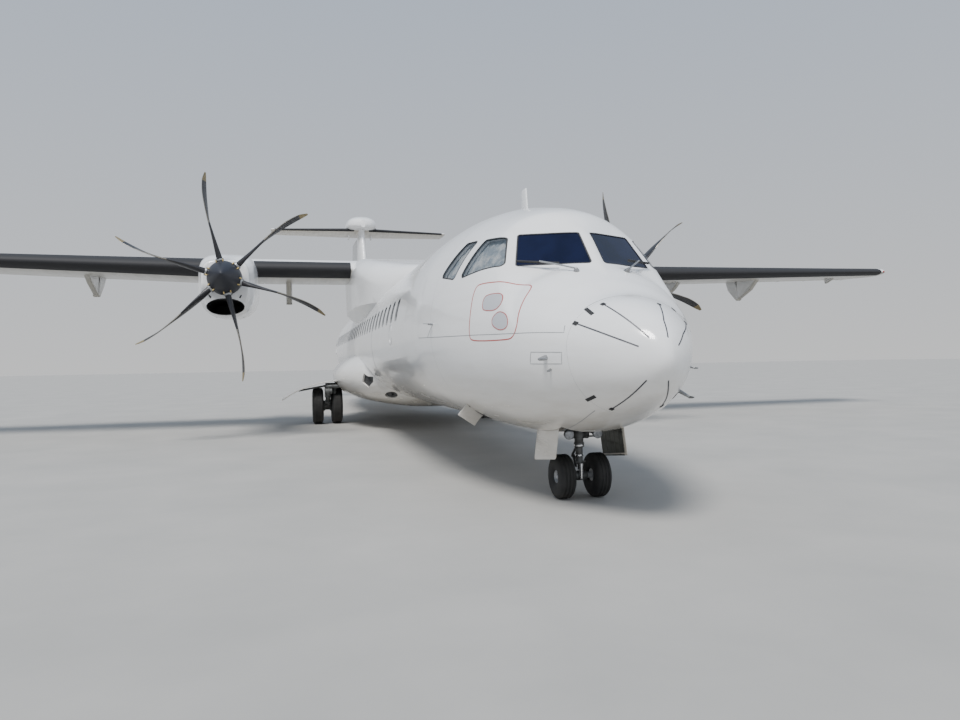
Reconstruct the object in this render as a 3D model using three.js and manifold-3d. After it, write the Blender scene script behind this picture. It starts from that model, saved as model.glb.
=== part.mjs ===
// A regional twin-turboprop airliner with a high wing and a T-tail, parked on its gear.
// Millimetres, +Z up, nose towards -Y and port side towards +X. The origin is on the ground,
// under the middle of the aircraft's length. A station is the distance aft of the nose tip.
import * as THREE from "three";
import { mergeVertices } from "three/addons/utils/BufferGeometryUtils.js";
import Module from "manifold-3d";

const wasm = await Module();
wasm.setup();

// Driving dimensions
const LENGTH = 27166;
const SPAN = 27050;
const HEIGHT = 7650;
const CABIN_RADIUS = 1432.5;
const CABIN_CENTRE = 1830;
const WALL = 50;
const SEAT_GAP = 0.3;
const DOOR_GAP = 12;
const SURFACE_GAP = 12;

const NOSE_GEAR_STATION = 1830;
const MAIN_GEAR_STATION = 12600;
const TRACK = 4100;

const WING_ROOT_CHORD = 2570;
const WING_TIP_CHORD = 1590;
const WING_ROOT_STATION = 10900;
const WING_TIP_STATION = 11600;
const WING_BREAK = 4700;
const WING_ROOT_HEIGHT = 3520;
const WING_TIP_HEIGHT = 3780;
const FLAP_CUT_STATION = 12730;

const PROP_OFFSET = 4050;
const PROP_STATION = 8990;
const PROP_HEIGHT = 3070;
const PROP_RADIUS = 1965;
const PROP_BLADES = 6;
const STARBOARD_PHASE = -9;
const PORT_PHASE = -13;

const TAILPLANE_SPAN = 7310;
const TAILPLANE_HEIGHT = 7030;

const HULL_SIDES = 24;
const POD_SIDES = 16;
const ROUND_SIDES = 12;
const degrees = THREE.MathUtils.degToRad;
const at = (station) => station - LENGTH / 2;

// Solids: every shape below is a closed body that can be joined, cut and intersected

function toSolid(geometry) {
  const bare = geometry.index ? geometry.toNonIndexed() : geometry.clone();
  bare.deleteAttribute("normal");
  bare.deleteAttribute("uv");
  const merged = mergeVertices(bare, 1e-3);
  const corners = merged.index.array;
  const kept = [];
  for (let i = 0; i < corners.length; i += 3) {
    const [a, b, c] = corners.slice(i, i + 3);
    if (a !== b && b !== c && a !== c) kept.push(a, b, c);
  }
  const build = (triVerts) =>
    new wasm.Manifold(
      new wasm.Mesh({
        numProp: 3,
        vertProperties: new Float32Array(merged.attributes.position.array),
        triVerts: new Uint32Array(triVerts),
      }),
    );
  const solid = build(kept);
  return solid.volume() > 0 ? solid : build(kept.slice().reverse());
}

function toGeometry(solid) {
  const mesh = solid.getMesh();
  const positions = new Float32Array(mesh.numVert * 3);
  for (let i = 0; i < mesh.numVert; i++) {
    const from = i * mesh.numProp;
    positions.set(mesh.vertProperties.subarray(from, from + 3), i * 3);
  }
  const geometry = new THREE.BufferGeometry();
  geometry.setAttribute("position", new THREE.BufferAttribute(positions, 3));
  geometry.setIndex(new THREE.BufferAttribute(new Uint32Array(mesh.triVerts), 1));
  geometry.computeVertexNormals();
  return geometry;
}

const join = (first, ...rest) => rest.reduce((solid, next) => solid.add(next), first);
const cut = (first, ...tools) => tools.reduce((solid, tool) => solid.subtract(tool), first);

// The main piece of a solid, without the slivers that facets can leave beside a cut
const mainPiece = (solid) => solid.decompose().sort((a, b) => b.volume() - a.volume())[0];

function moved(solid, matrix) {
  return toSolid(toGeometry(solid).applyMatrix4(matrix));
}

// A solid turned about a line, in degrees by the right-hand rule
function turnedAbout(solid, from, to, angle) {
  const start = new THREE.Vector3(...from);
  const axis = new THREE.Vector3(...to).sub(start).normalize();
  const turn = new THREE.Matrix4().makeTranslation(start)
    .multiply(new THREE.Matrix4().makeRotationAxis(axis, degrees(angle)))
    .multiply(new THREE.Matrix4().makeTranslation(start.clone().negate()));
  return moved(solid, turn);
}
const mirrored = (solid) => moved(solid, new THREE.Matrix4().makeScale(-1, 1, 1));

function box(x, y, z) {
  const size = [x, y, z].map(([low, high]) => high - low);
  const geometry = new THREE.BoxGeometry(...size);
  return toSolid(geometry.translate(...[x, y, z].map(([low, high]) => (low + high) / 2)));
}

// An outline pushed along one axis: (y, z) along x, (x, z) along y or (x, y) along z
function prism(axis, outline, from, to) {
  const shape = new THREE.Shape(outline.map(([u, v]) => new THREE.Vector2(u, v)));
  const settings = { depth: to - from, bevelEnabled: false, curveSegments: 1 };
  const geometry = new THREE.ExtrudeGeometry(shape, settings).translate(0, 0, from);
  const [x, y, z] = [[1, 0, 0], [0, 1, 0], [0, 0, 1]].map((v) => new THREE.Vector3(...v));
  const bases = { x: [y, z, x], y: [x, z, y], z: [x, y, z] };
  return toSolid(geometry.applyMatrix4(new THREE.Matrix4().makeBasis(...bases[axis])));
}

// A closed body through rings that hold the same number of points and run the same way round
function loft(rings) {
  const sides = rings[0].length;
  const middle = (ring) => [0, 1, 2].map((k) => ring.reduce((sum, p) => sum + p[k], 0) / sides);
  const last = (rings.length - 1) * sides;
  const nose = rings.length * sides;
  const points = [...rings.flat(), middle(rings[0]), middle(rings[rings.length - 1])];
  const faces = [];
  for (let j = 0; j < sides; j++) {
    const k = (j + 1) % sides;
    faces.push(nose, k, j, nose + 1, last + j, last + k);
    for (let i = 0; i < last; i += sides) {
      faces.push(i + j, i + k, i + sides + k, i + j, i + sides + k, i + sides + j);
    }
  }
  const geometry = new THREE.BufferGeometry();
  geometry.setAttribute("position", new THREE.Float32BufferAttribute(points.flat(), 3));
  geometry.setIndex(faces);
  return toSolid(geometry);
}

// A round rod, tapered where the second radius differs
function rod(from, to, radius, endRadius = radius, sides = ROUND_SIDES) {
  const start = new THREE.Vector3(...from);
  const along = new THREE.Vector3(...to).sub(start);
  const geometry = new THREE.CylinderGeometry(endRadius, radius, along.length(), sides);
  const up = new THREE.Vector3(0, 1, 0);
  const turn = new THREE.Quaternion().setFromUnitVectors(up, along.clone().normalize());
  geometry.applyQuaternion(turn);
  const centre = start.addScaledVector(along, 0.5);
  return toSolid(geometry.translate(centre.x, centre.y, centre.z));
}

// A profile of (radius, distance) turned about the X or the Y axis
function turned(axis, profile, sides) {
  const points = profile.map(([radius, distance]) => new THREE.Vector2(radius, distance));
  const geometry = new THREE.LatheGeometry(points, sides);
  return toSolid(axis === "x" ? geometry.rotateZ(-Math.PI / 2) : geometry);
}

// A slab through a flat or curved outline of corners, pushed both ways along a direction
function slab(corners, direction, depth) {
  const step = new THREE.Vector3(...direction).setLength(depth);
  const shift = (sign) => corners.map(([x, y, z]) =>
    [x + sign * step.x, y + sign * step.y, z + sign * step.z]);
  return loft([shift(-1), shift(1)]);
}

// A ring whose four quarters are superellipse arcs about a centre, in a plane across the aircraft
function ring(station, { x = 0, centre, halfWidth, top, bottom, power = 2, lower = power, sides = HULL_SIDES }) {
  return Array.from({ length: sides }, (_, i) => {
    const angle = (2 * Math.PI * i) / sides;
    const [s, c] = [Math.sin(angle), Math.cos(angle)];
    const height = c > 0 ? top - centre : centre - bottom;
    const exponent = 2 / (c > 0 ? power : lower);
    const across = Math.sign(s) * Math.abs(s) ** exponent * halfWidth;
    const up = Math.sign(c) * Math.abs(c) ** exponent * height;
    return [x + across, at(station), centre + up];
  });
}

// Fuselage
// The nose's own hump and the cabin's roof rise separately and are joined, and the two
// flat windscreen planes cut only the cabin.
const NOSE_LENGTH = 4300;
// station, hump top, cabin top, bottom, half width
const NOSE_SECTIONS = [
  [0, 1460, 1430, 1375, 30],
  [50, 1580, 1510, 1270, 120],
  [150, 1700, 1610, 1165, 240],
  [300, 1810, 1710, 1066, 380],
  [500, 1910, 1805, 974, 520],
  [750, 1990, 1980, 888, 670],
  [1000, 2140, 2220, 820, 810],
  [1300, 2310, 2500, 765, 930],
  [1600, 2380, 2690, 720, 1020],
  [2000, 2440, 2980, 695, 1140],
  [2500, 2500, 3117, 683, 1260],
  [3000, 2545, 3210, 680, 1340],
  [3600, 2590, 3255, 680, 1410],
  [4300, 2580, 3262.5, 680, 1432.5],
];
// station, top, bottom, half width, height of the widest line
const TAIL_SECTIONS = [
  [17600, 3262.5, 680, 1432.5, 1830],
  [19000, 3262.5, 735, 1425, 1845],
  [20500, 3260, 930, 1375, 1900],
  [22000, 3250, 1260, 1245, 2030],
  [23500, 3225, 1660, 1030, 2260],
  [25000, 3165, 2060, 745, 2500],
  [26300, 3030, 2375, 420, 2670],
  [27000, 2880, 2570, 170, 2720],
  [LENGTH, 2780, 2680, 60, 2730],
];
const LOWER_POWER = 2.15;
const NOSE_TIP_HEIGHT = 1416;

function noseCentre(station) {
  const ahead = 1 - Math.min(station, NOSE_LENGTH) / NOSE_LENGTH;
  return NOSE_TIP_HEIGHT + (CABIN_CENTRE - NOSE_TIP_HEIGHT) * (1 - ahead ** 2);
}

// Windscreen corners on the port side: across, station, height
const SCREEN = {
  innerTop: [55, 1598, 2684],
  innerBase: [58, 1264, 2322],
  outerBase: [717, 1631, 2331],
  outerTop: [600, 1907, 2691],
};
const SIDE_WINDOW = [[686, 1932, 2663], [799, 1680, 2330], [1119, 2314, 2273], [833, 2259, 2696]];
const REAR_WINDOW = [[865, 2399, 2712], [1147, 2437, 2282], [1205, 2842, 2350], [931, 2659, 2725]];
const place = ([across, station, height]) => [across, at(station), height];

function screenNormal() {
  const [base, outer, top] = [SCREEN.innerBase, SCREEN.outerBase, SCREEN.innerTop]
    .map((corner) => new THREE.Vector3(...place(corner)));
  return outer.sub(base).cross(top.sub(base)).normalize();
}

// Everything on the outer side of a windscreen plane, moved inwards by an inset
function screenCutter(inset) {
  const normal = screenNormal();
  const size = 6000;
  const geometry = new THREE.BoxGeometry(size, size, size).translate(0, 0, size / 2 - inset);
  const face = new THREE.Vector3(0, 0, 1);
  geometry.applyQuaternion(new THREE.Quaternion().setFromUnitVectors(face, normal));
  return toSolid(geometry.translate(...place(SCREEN.innerBase)));
}

function fuselageBody(inset) {
  const noseRing = (top) => (row) => {
    const [station, , , bottom, halfWidth] = row;
    return ring(station, {
      centre: noseCentre(station),
      halfWidth: halfWidth - inset,
      top: row[top] - inset,
      bottom: bottom + inset,
      lower: LOWER_POWER,
    });
  };
  const roomy = NOSE_SECTIONS.filter((row) => row[4] > 2 * inset);
  const hump = loft(roomy.map(noseRing(1)));
  const tailRing = ([station, top, bottom, halfWidth, centre]) => ring(station, {
    centre, halfWidth: halfWidth - inset, top: top - inset, bottom: bottom + inset, lower: LOWER_POWER,
  });
  const cabinRings = roomy.filter((row) => row[0] >= 750).map(noseRing(2));
  const tailRings = TAIL_SECTIONS.filter((row) => row[3] > 2 * inset).map(tailRing);
  const screen = screenCutter(inset);
  const cabin = cut(loft([...cabinRings, ...tailRings]), screen, mirrored(screen));
  return join(hump, cabin);
}

const hull = fuselageBody(0);
const hullInside = fuselageBody(WALL);
const hullGrown = fuselageBody(-SEAT_GAP * 2);
const WIDE = 2000;
const TALL = 4000;

// The part of a body between two stations, clear of its neighbours by half a seat gap each
function between(solid, from, to, low = 0, high = TALL) {
  const half = SEAT_GAP / 2;
  return solid.intersect(box([-WIDE, WIDE], [at(from) + half, at(to) - half], [low, high]));
}

const RADOME_END = 620;
const NOSE_END = 2900;
const FORWARD_END = 5900;
const CENTRE_END = 16900;
const AFT_END = 21600;

// Cockpit: floor, room, wheel bay and windows
const DECK_FLOOR = 1290;
const DECK_ROOM = [950, 2800];
const NOSE_BAY = { half: 330, stations: [1150, 2250], top: 1210 };
const PASSAGE = { half: 300, stations: [2750, 3200], top: 2950 };
const GLASS_SHRINK = 0.997;

function shrunk(corners, factor) {
  const middle = [0, 1, 2].map((k) => corners.reduce((sum, p) => sum + p[k], 0) / corners.length);
  return corners.map((p) => p.map((value, k) => middle[k] + (value - middle[k]) * factor));
}

// The windows of the port side: corners and the direction that they are cut in
const WINDOWS = {
  windshield: {
    corners: [SCREEN.innerTop, SCREEN.innerBase, SCREEN.outerBase, SCREEN.outerTop].map(place),
    direction: screenNormal().toArray(),
  },
  side_window: { corners: SIDE_WINDOW.map(place), direction: [0.82, -0.32, 0.48] },
  rear_window: { corners: REAR_WINDOW.map(place), direction: [0.88, -0.1, 0.45] },
};
const WINDOW_DEPTH = 230;

function windowTool(name, factor) {
  const { corners, direction } = WINDOWS[name];
  return slab(shrunk(corners, factor), direction, WINDOW_DEPTH);
}

// The flight deck's room, with a passage aft through its bulkhead to the hold
function deckRoom() {
  return between(hullInside, ...DECK_ROOM, DECK_FLOOR);
}

function passage() {
  return box([-PASSAGE.half, PASSAGE.half], PASSAGE.stations.map(at), [DECK_FLOOR, PASSAGE.top]);
}

function noseBay() {
  const { half, stations, top } = NOSE_BAY;
  return box([-half, half], stations.map(at), [0, top]);
}

const hullWall = cut(hull, hullInside);

function noseShell() {
  const holes = Object.keys(WINDOWS).map((name) => windowTool(name, 1));
  const shell = cut(between(hull, RADOME_END, NOSE_END), deckRoom(), passage(), noseBay());
  return cut(shell, ...holes, ...holes.map(mirrored));
}

function pane(name) {
  return between(hullWall, RADOME_END, NOSE_END).intersect(windowTool(name, GLASS_SHRINK));
}

// Doors: each is a piece of the wall that turns on knuckles at one edge
const KNUCKLE = 22;
const KNUCKLE_CLEAR = 28;
// stations and heights of each opening. A lean keeps the upright edges square to a hinge
// line that follows the taper, and a draft narrows the inner side, away from the hinge
const CARGO_DOOR = { stations: [3350, 4625], heights: [1180, 2710] };
const PASSENGER_DOOR = { stations: [19900, 20720], heights: [1215, 2950], lean: 0.175 };
const SERVICE_DOOR = { stations: [19950, 20560], heights: [1300, 2520], draft: 24 };
const SERVICE_HINGE = [1820, 1940];
const SILL_HALF_WIDTH = 1020;
const HOLD = { stations: [3150, 5700], floor: 1130 };
const VESTIBULE = { stations: [17000, 21400], floor: 1160 };

function sideTool({ stations, heights, lean = 0, draft = 0 }, gap, side) {
  const [low, high] = [heights[0] + gap, heights[1] - gap];
  const face = (across, narrow) => {
    const shift = lean * (across - SILL_HALF_WIDTH);
    const [front, back] = [at(stations[0]) + gap + shift, at(stations[1]) - gap + shift - narrow];
    return [[front, low], [back, low], [back, high], [front, high]].map(([y, z]) => [side * across, y, z]);
  };
  const skin = CABIN_RADIUS + 100;
  const inner = 600;
  const narrowing = draft * (skin - inner) / WALL / 4;
  return loft([face(inner, gap ? narrowing : 0), face(skin, 0)]);
}

// Knuckles along a hinge line: fixed ones at both ends and the door's in the middle
function knuckles(from, to) {
  const [start, end] = [from, to].map((p) => new THREE.Vector3(...p));
  const length = end.distanceTo(start);
  const point = (distance) => start.clone().lerp(end, distance / length).toArray();
  const share = length * 0.2;
  const piece = (a, b, radius) => rod(point(a), point(b), radius, radius, 12);
  return {
    fixed: [
      piece(0, share - SEAT_GAP, KNUCKLE),
      piece(length - share + SEAT_GAP, length, KNUCKLE),
    ],
    fixedClear: [piece(-5, share + 5, KNUCKLE_CLEAR), piece(length - share - 5, length + 5, KNUCKLE_CLEAR)],
    moving: piece(share, length - share, KNUCKLE),
    movingClear: piece(share - 5, length - share + 5, KNUCKLE_CLEAR),
  };
}

function skinAcross(station, height) {
  const reach = box([0, WIDE], [at(station) - 1, at(station) + 1], [height - 1, height + 1]);
  return hull.intersect(reach).boundingBox().max[0];
}

function hingeLines() {
  const line = ({ stations }, height) => [stations[0] + 40, stations[1] - 40]
    .map((station) => [skinAcross(station, height), at(station), height]);
  const front = SERVICE_DOOR.stations[0];
  const widest = skinAcross(front, (SERVICE_HINGE[0] + SERVICE_HINGE[1]) / 2);
  return {
    cargo: line(CARGO_DOOR, CARGO_DOOR.heights[1]),
    passenger: line(PASSENGER_DOOR, PASSENGER_DOOR.heights[0]),
    service: SERVICE_HINGE.map((height) => [-widest, at(front), height]),
  };
}
const HINGES = hingeLines(); // the doors' hinge lines, each from one end to the other
const cargoKnuckles = knuckles(...HINGES.cargo);
const passengerKnuckles = knuckles(...HINGES.passenger);
const serviceKnuckles = knuckles(...HINGES.service);

function doorPanel(door, side, hinge) {
  const panel = hullWall.intersect(sideTool(door, DOOR_GAP, side));
  return join(cut(panel, ...hinge.fixedClear), hinge.moving);
}

function doorway(solid, door, side, hinge) {
  const opened = cut(solid, sideTool(door, 0, side), hinge.movingClear);
  return mainPiece(join(opened, ...hinge.fixed));
}

function forwardFuselage() {
  const body = between(hull, NOSE_END, FORWARD_END);
  const hold = between(hullInside, ...HOLD.stations, HOLD.floor);
  return doorway(cut(body, hold, passage()), CARGO_DOOR, 1, cargoKnuckles);
}

function aftFuselage() {
  const body = between(hull, CENTRE_END, AFT_END);
  const room = between(hullInside, ...VESTIBULE.stations, VESTIBULE.floor);
  const port = doorway(cut(body, room), PASSENGER_DOOR, 1, passengerKnuckles);
  return doorway(port, SERVICE_DOOR, -1, serviceKnuckles);
}

function tailCone() {
  const body = between(hull, AFT_END, LENGTH + 1);
  return cut(body, between(hullInside, AFT_END - 100, 25500));
}

// Aerofoils: an outline in (distance aft, height), nose at the origin
const CAMBER = 0.025;
const TAIL_THICK = 0.006;

function aerofoil(chord, thickness, camber, points = 7) {
  const stretch = Array.from({ length: points + 1 }, (_, i) => (1 - Math.cos((Math.PI * i) / points)) / 2);
  const half = (t) => 5 * thickness *
    (0.2969 * Math.sqrt(t) - 0.126 * t - 0.3516 * t ** 2 + 0.2843 * t ** 3 - 0.1036 * t ** 4) + TAIL_THICK * t / 2;
  const mean = (t) => camber * 4 * t * (1 - t);
  const upper = stretch.slice(1).reverse().map((t) => [t, mean(t) + half(t)]);
  const under = stretch.slice(1).map((t) => [t, mean(t) - half(t)]);
  return [...upper, [0, 0], ...under].map(([t, h]) => [t * chord, h * chord]);
}

// Wing, lofted over the span from a table
const INCIDENCE = degrees(1.5);
// across, leading-edge station, chord, height, thickness ratio
const WING_SECTIONS = [
  [0, WING_ROOT_STATION, WING_ROOT_CHORD, WING_ROOT_HEIGHT, 0.18],
  [WING_BREAK, WING_ROOT_STATION, WING_ROOT_CHORD, WING_ROOT_HEIGHT, 0.18],
  [SPAN / 2 - 160, WING_TIP_STATION - 10, WING_TIP_CHORD + 20, WING_TIP_HEIGHT - 4, 0.14],
  [SPAN / 2, WING_TIP_STATION + 130, WING_TIP_CHORD - 220, WING_TIP_HEIGHT + 6, 0.07],
];

function wingRing([across, station, chord, height, thickness], grow = 0) {
  const ratio = thickness + (2 * grow) / chord;
  return aerofoil(chord, ratio, CAMBER).map(([aft, up]) => {
    const y = aft * Math.cos(INCIDENCE) + up * Math.sin(INCIDENCE);
    const z = up * Math.cos(INCIDENCE) - aft * Math.sin(INCIDENCE);
    return [across, at(station) + y, height + z];
  });
}

function wingHalf(grow = 0) {
  return loft(WING_SECTIONS.map((row) => wingRing(row, grow)));
}

function centreWing(grow = 0) {
  const row = WING_SECTIONS[1];
  const half = WING_BREAK - SEAT_GAP / 2;
  return loft([-half, half].map((across) => wingRing([across, ...row.slice(1)], grow)));
}

// Moving surfaces on the port side, from inboard to outboard edge
const INNER_FLAP = [1640, 3480];
const OUTER_FLAP = [4740, 9720];
const AILERON = [9760, 13120];
const AILERON_AXIS_STATION = 12790;
const AILERON_NOSE = [80, 57];
const WING_AFT = 14200;
const HINGE_FAIRINGS = { inner: [2900], outer: [7100, 9450] };
const FAIRING_HALF = 55;
const FLAP_PIVOT = { inner: 2930, outer: 3090 };
const PIVOT_RADIUS = 60;
const ARM_THICK = 14;

const behind = ([inner, outer], station, gap = 0) =>
  box([inner + gap, outer - gap], [at(station + gap), at(WING_AFT)], [0, HEIGHT]);

// How far a place lies from the wing's break to its tip, and the chord line there
const spanShare = (across) => Math.max(0, across - WING_BREAK) / (SPAN / 2 - WING_BREAK);
const wingHeight = (across) => THREE.MathUtils.lerp(WING_ROOT_HEIGHT, WING_TIP_HEIGHT, spanShare(across));
const wingEnd = (across) => THREE.MathUtils.lerp(
  WING_ROOT_STATION + WING_ROOT_CHORD, WING_TIP_STATION + WING_TIP_CHORD, spanShare(across));

// The fixed blade under the wing that carries a flap's pivot
function flapFairing(across, pivot) {
  const root = wingHeight(across) - 20;
  const arc = Array.from({ length: 9 }, (_, i) => {
    const angle = Math.PI + (Math.PI * i) / 8;
    return [at(FLAP_CUT_STATION) + PIVOT_RADIUS * Math.cos(angle + Math.PI / 8),
      pivot + PIVOT_RADIUS * Math.sin(angle + Math.PI / 8)];
  });
  const outline = [[at(11700), root], [at(12150), pivot + 190], ...arc, [at(12712), root]];
  return prism("x", outline, across - FAIRING_HALF, across + FAIRING_HALF);
}

// The flap's own arm: two cheeks beside the blade and a tail behind it
function flapArm(across, pivot) {
  const y = at(FLAP_CUT_STATION);
  const tail = at(wingEnd(across)) - 90;
  const root = wingHeight(across);
  const outline = [
    [y - 50, pivot - 30], [y + 20, pivot - PIVOT_RADIUS], [y + 400, pivot + 0.45 * (root - pivot)],
    [tail, root - 95], [tail, root - 58], [y + 90, root - 20], [y + 40, root - 150], [y - 50, pivot + 40],
  ];
  const outer = FAIRING_HALF + SEAT_GAP + ARM_THICK;
  const inner = FAIRING_HALF + SEAT_GAP;
  const body = prism("x", outline, across - outer, across + outer);
  return cut(body, box([across - inner, across + inner], [y - 300, y + 130], [0, HEIGHT]));
}

function flap(edges, fairings, pivot, wing) {
  const blade = wing.intersect(behind(edges, FLAP_CUT_STATION, SURFACE_GAP));
  return join(blade, ...fairings.map((across) => flapArm(across, pivot)));
}

// The aileron turns on a round nose that tapers along the span
function aileronAxis(across) {
  return [across, at(AILERON_AXIS_STATION), wingHeight(across) - 10];
}

function aileron(wing) {
  const [inner, outer] = AILERON;
  const blade = wing.intersect(
    box([inner + SURFACE_GAP, outer - SURFACE_GAP], [at(AILERON_AXIS_STATION), at(WING_AFT)], [0, HEIGHT]));
  const nose = rod(aileronAxis(inner + SURFACE_GAP + 3), aileronAxis(outer - SURFACE_GAP - 3), ...AILERON_NOSE);
  const pins = rod(aileronAxis(inner + 0.8), aileronAxis(outer - 0.8), 22, 22, 12);
  return join(blade, nose, pins);
}

function aileronBay() {
  const front = AILERON_AXIS_STATION - AILERON_NOSE[0] - SURFACE_GAP;
  return behind(AILERON, front);
}

const fullWing = wingHalf();

function outerWing() {
  const outboard = box([WING_BREAK + SEAT_GAP / 2, SPAN], [at(9000), at(16000)], [0, HEIGHT]);
  const body = cut(fullWing.intersect(outboard), behind(OUTER_FLAP, FLAP_CUT_STATION), aileronBay());
  return join(body, ...HINGE_FAIRINGS.outer.map((across) => flapFairing(across, FLAP_PIVOT.outer)));
}

function wingCentre() {
  const bay = behind(INNER_FLAP, FLAP_CUT_STATION);
  const fairings = HINGE_FAIRINGS.inner.map((across) => flapFairing(across, FLAP_PIVOT.inner));
  return join(cut(centreWing(), bay, mirrored(bay)), ...fairings, ...fairings.map(mirrored));
}

// The fairing between the wing and the roof
const FAIRING_FOOT = 1950;
// station, half width, top, half width of the flat top
const FAIRING_SECTIONS = [
  [8250, 420, 3275, 250],
  [9000, 1050, 3380, 620],
  [9800, 1400, 3530, 980],
  [10600, 1540, 3680, 1180],
  [11300, 1560, 3790, 1220],
  [12600, 1560, 3780, 1220],
  [13700, 1480, 3650, 1100],
  [15000, 1150, 3440, 760],
  [16300, 500, 3275, 250],
];

function fairingRing([station, half, top, flat]) {
  const corner = Math.min(half - flat, top - 2900);
  const steps = [0, 30, 60, 90].map(degrees);
  const shoulder = steps.map((a) => [flat + (half - flat) * Math.sin(a), top - corner * (1 - Math.cos(a))]);
  const side = [...shoulder, [half * 0.985, 2600], [half * 0.8, FAIRING_FOOT]];
  const port = [[0, top], ...side].map(([x, z]) => [x, at(station), z]);
  const starboard = side.map(([x, z]) => [-x, at(station), z]).reverse();
  return [...port, ...starboard];
}

function wingFairing() {
  return cut(loft(FAIRING_SECTIONS.map(fairingRing)), hullGrown, centreWing(SEAT_GAP * 2));
}

// The belly fairing with its two sponsons
const SPONSON_CENTRE = 1150;
const SPONSON_TOP = 1850;
// station, half width, bottom
const BELLY_SECTIONS = [
  [8700, 420, 664],
  [9300, 900, 545],
  [10000, 1300, 485],
  [10800, 1620, 470],
  [11600, 1820, 470],
  [12400, 1880, 470],
  [13600, 1860, 475],
  [14800, 1690, 520],
  [15800, 1380, 600],
  [16500, 700, 672],
];
const WHEEL_BAY = { inner: 1230, stations: [12050, 13170], top: 1010 };

function wheelBay() {
  return box([WHEEL_BAY.inner, WIDE + 500], WHEEL_BAY.stations.map(at), [0, WHEEL_BAY.top]);
}

function bellyBody(grow = 0) {
  return loft(BELLY_SECTIONS.map(([station, halfWidth, bottom]) => ring(station, {
    centre: SPONSON_CENTRE,
    halfWidth: halfWidth + grow,
    top: SPONSON_TOP + grow,
    bottom: bottom - grow,
    lower: 2.4,
  })));
}

function bellyFairing() {
  return cut(bellyBody(), hullGrown, wheelBay(), mirrored(wheelBay()));
}

// Each main door is a curved plate that stands out over its wheels
const MAIN_DOOR = { stations: [12080, 13120], thick: 24 };
const MAIN_DOOR_CURVE = [[1700, 1045], [1900, 1042], [2100, 1018], [2456, 935], [2800, 800], [3100, 620]];

function mainDoor() {
  const lower = MAIN_DOOR_CURVE.map(([x, z]) => [x - 4, z - MAIN_DOOR.thick]).reverse();
  return prism("y", [...MAIN_DOOR_CURVE, ...lower], ...MAIN_DOOR.stations.map(at));
}

// Nacelles and engines on the port side
// station, half width, top, bottom
const NACELLE_SECTIONS = [
  [9300, 400, 3440, 2365],
  [9600, 460, 3550, 2345],
  [10200, 490, 3655, 2360],
  [11000, 500, 3680, 2400],
  [12000, 490, 3620, 2500],
  [13000, 450, 3540, 2700],
  [13800, 360, 3470, 2940],
  [14400, 230, 3410, 3120],
  [14700, 110, 3350, 3210],
];
const ENGINE_BAY = { half: 350, stations: [9440, 11560], heights: [2710, 3270] };
const ENGINE = { half: 330, stations: [9520, 11500], top: 3250 };
const SHAFT = { radius: 120, hole: 150 };
// station, half width, centre height, half height
const DUCT_SECTIONS = [
  [9100, 340, 2535, 150],
  [9400, 320, 2540, 138],
  [10300, 250, 2560, 105],
];
const JET_PIPE = { radius: 150, bore: 125, hole: 165, from: [180, 11300, 2960], to: [640, 12250, 2940] };
const pipePoint = ([across, station, height]) => [PROP_OFFSET + across, at(station), height];

function nacelle() {
  const skin = loft(NACELLE_SECTIONS.map(([station, halfWidth, top, bottom]) => ring(station, {
    x: PROP_OFFSET, centre: (top + bottom) / 2, halfWidth, top, bottom, power: 2.7, sides: POD_SIDES,
  })));
  const duct = loft(DUCT_SECTIONS.map(([station, halfWidth, centre, half]) => ring(station, {
    x: PROP_OFFSET, centre, halfWidth, top: centre + half, bottom: centre - half, power: 2.4, sides: POD_SIDES,
  })));
  const across = [PROP_OFFSET - ENGINE_BAY.half, PROP_OFFSET + ENGINE_BAY.half];
  const bay = box(across, ENGINE_BAY.stations.map(at), ENGINE_BAY.heights);
  const shaftHole = rod([PROP_OFFSET, at(9200), PROP_HEIGHT], [PROP_OFFSET, at(9500), PROP_HEIGHT], SHAFT.hole);
  const pipeHole = rod(pipePoint(JET_PIPE.from), pipePoint(JET_PIPE.to), JET_PIPE.hole);
  const wing = join(centreWing(SEAT_GAP * 2), wingHalf(SEAT_GAP * 2));
  return cut(skin, wing, duct, bay, shaftHole, pipeHole);
}

function engine() {
  const across = [PROP_OFFSET - ENGINE.half, PROP_OFFSET + ENGINE.half];
  const floor = ENGINE_BAY.heights[0] + SEAT_GAP;
  const block = box(across, ENGINE.stations.map(at), [floor, ENGINE.top]);
  const pipe = rod(pipePoint(JET_PIPE.from), pipePoint(JET_PIPE.to), JET_PIPE.radius);
  const [start, end] = [JET_PIPE.from, JET_PIPE.to].map((p) => new THREE.Vector3(...pipePoint(p)));
  const bore = rod(start.clone().lerp(end, 0.55).toArray(), start.clone().lerp(end, 1.1).toArray(), JET_PIPE.bore);
  return cut(join(block, pipe), bore);
}

// Propeller about its own centre, blades feathered, first blade upright
const HUB_RADIUS = 190;
const SPINNER_BACK = 200;
const BLADE_SOCKET = 78;
const BLADE_ROOT = 66;
// radius, chord, thickness, aft shift of the middle, sideways shift, twist in degrees
const BLADE_SECTIONS = [
  [300, 132, 120, 0, 0, -28],
  [560, 240, 70, -10, 4, -20],
  [1000, 298, 36, -26, 10, -9],
  [1450, 285, 20, 0, 6, 2],
  [1800, 200, 12, 76, -12, 8],
  [PROP_RADIUS, 70, 7, 150, -34, 11],
];

function bladeRing([radius, chord, thickness, aft, aside, twist]) {
  const turn = degrees(twist);
  return aerofoil(chord, thickness / chord, 0, 4).map(([along, up]) => {
    const y = along - chord * 0.5;
    const x = up;
    return [aside + x * Math.cos(turn) - y * Math.sin(turn), aft + x * Math.sin(turn) + y * Math.cos(turn), radius];
  });
}

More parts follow.
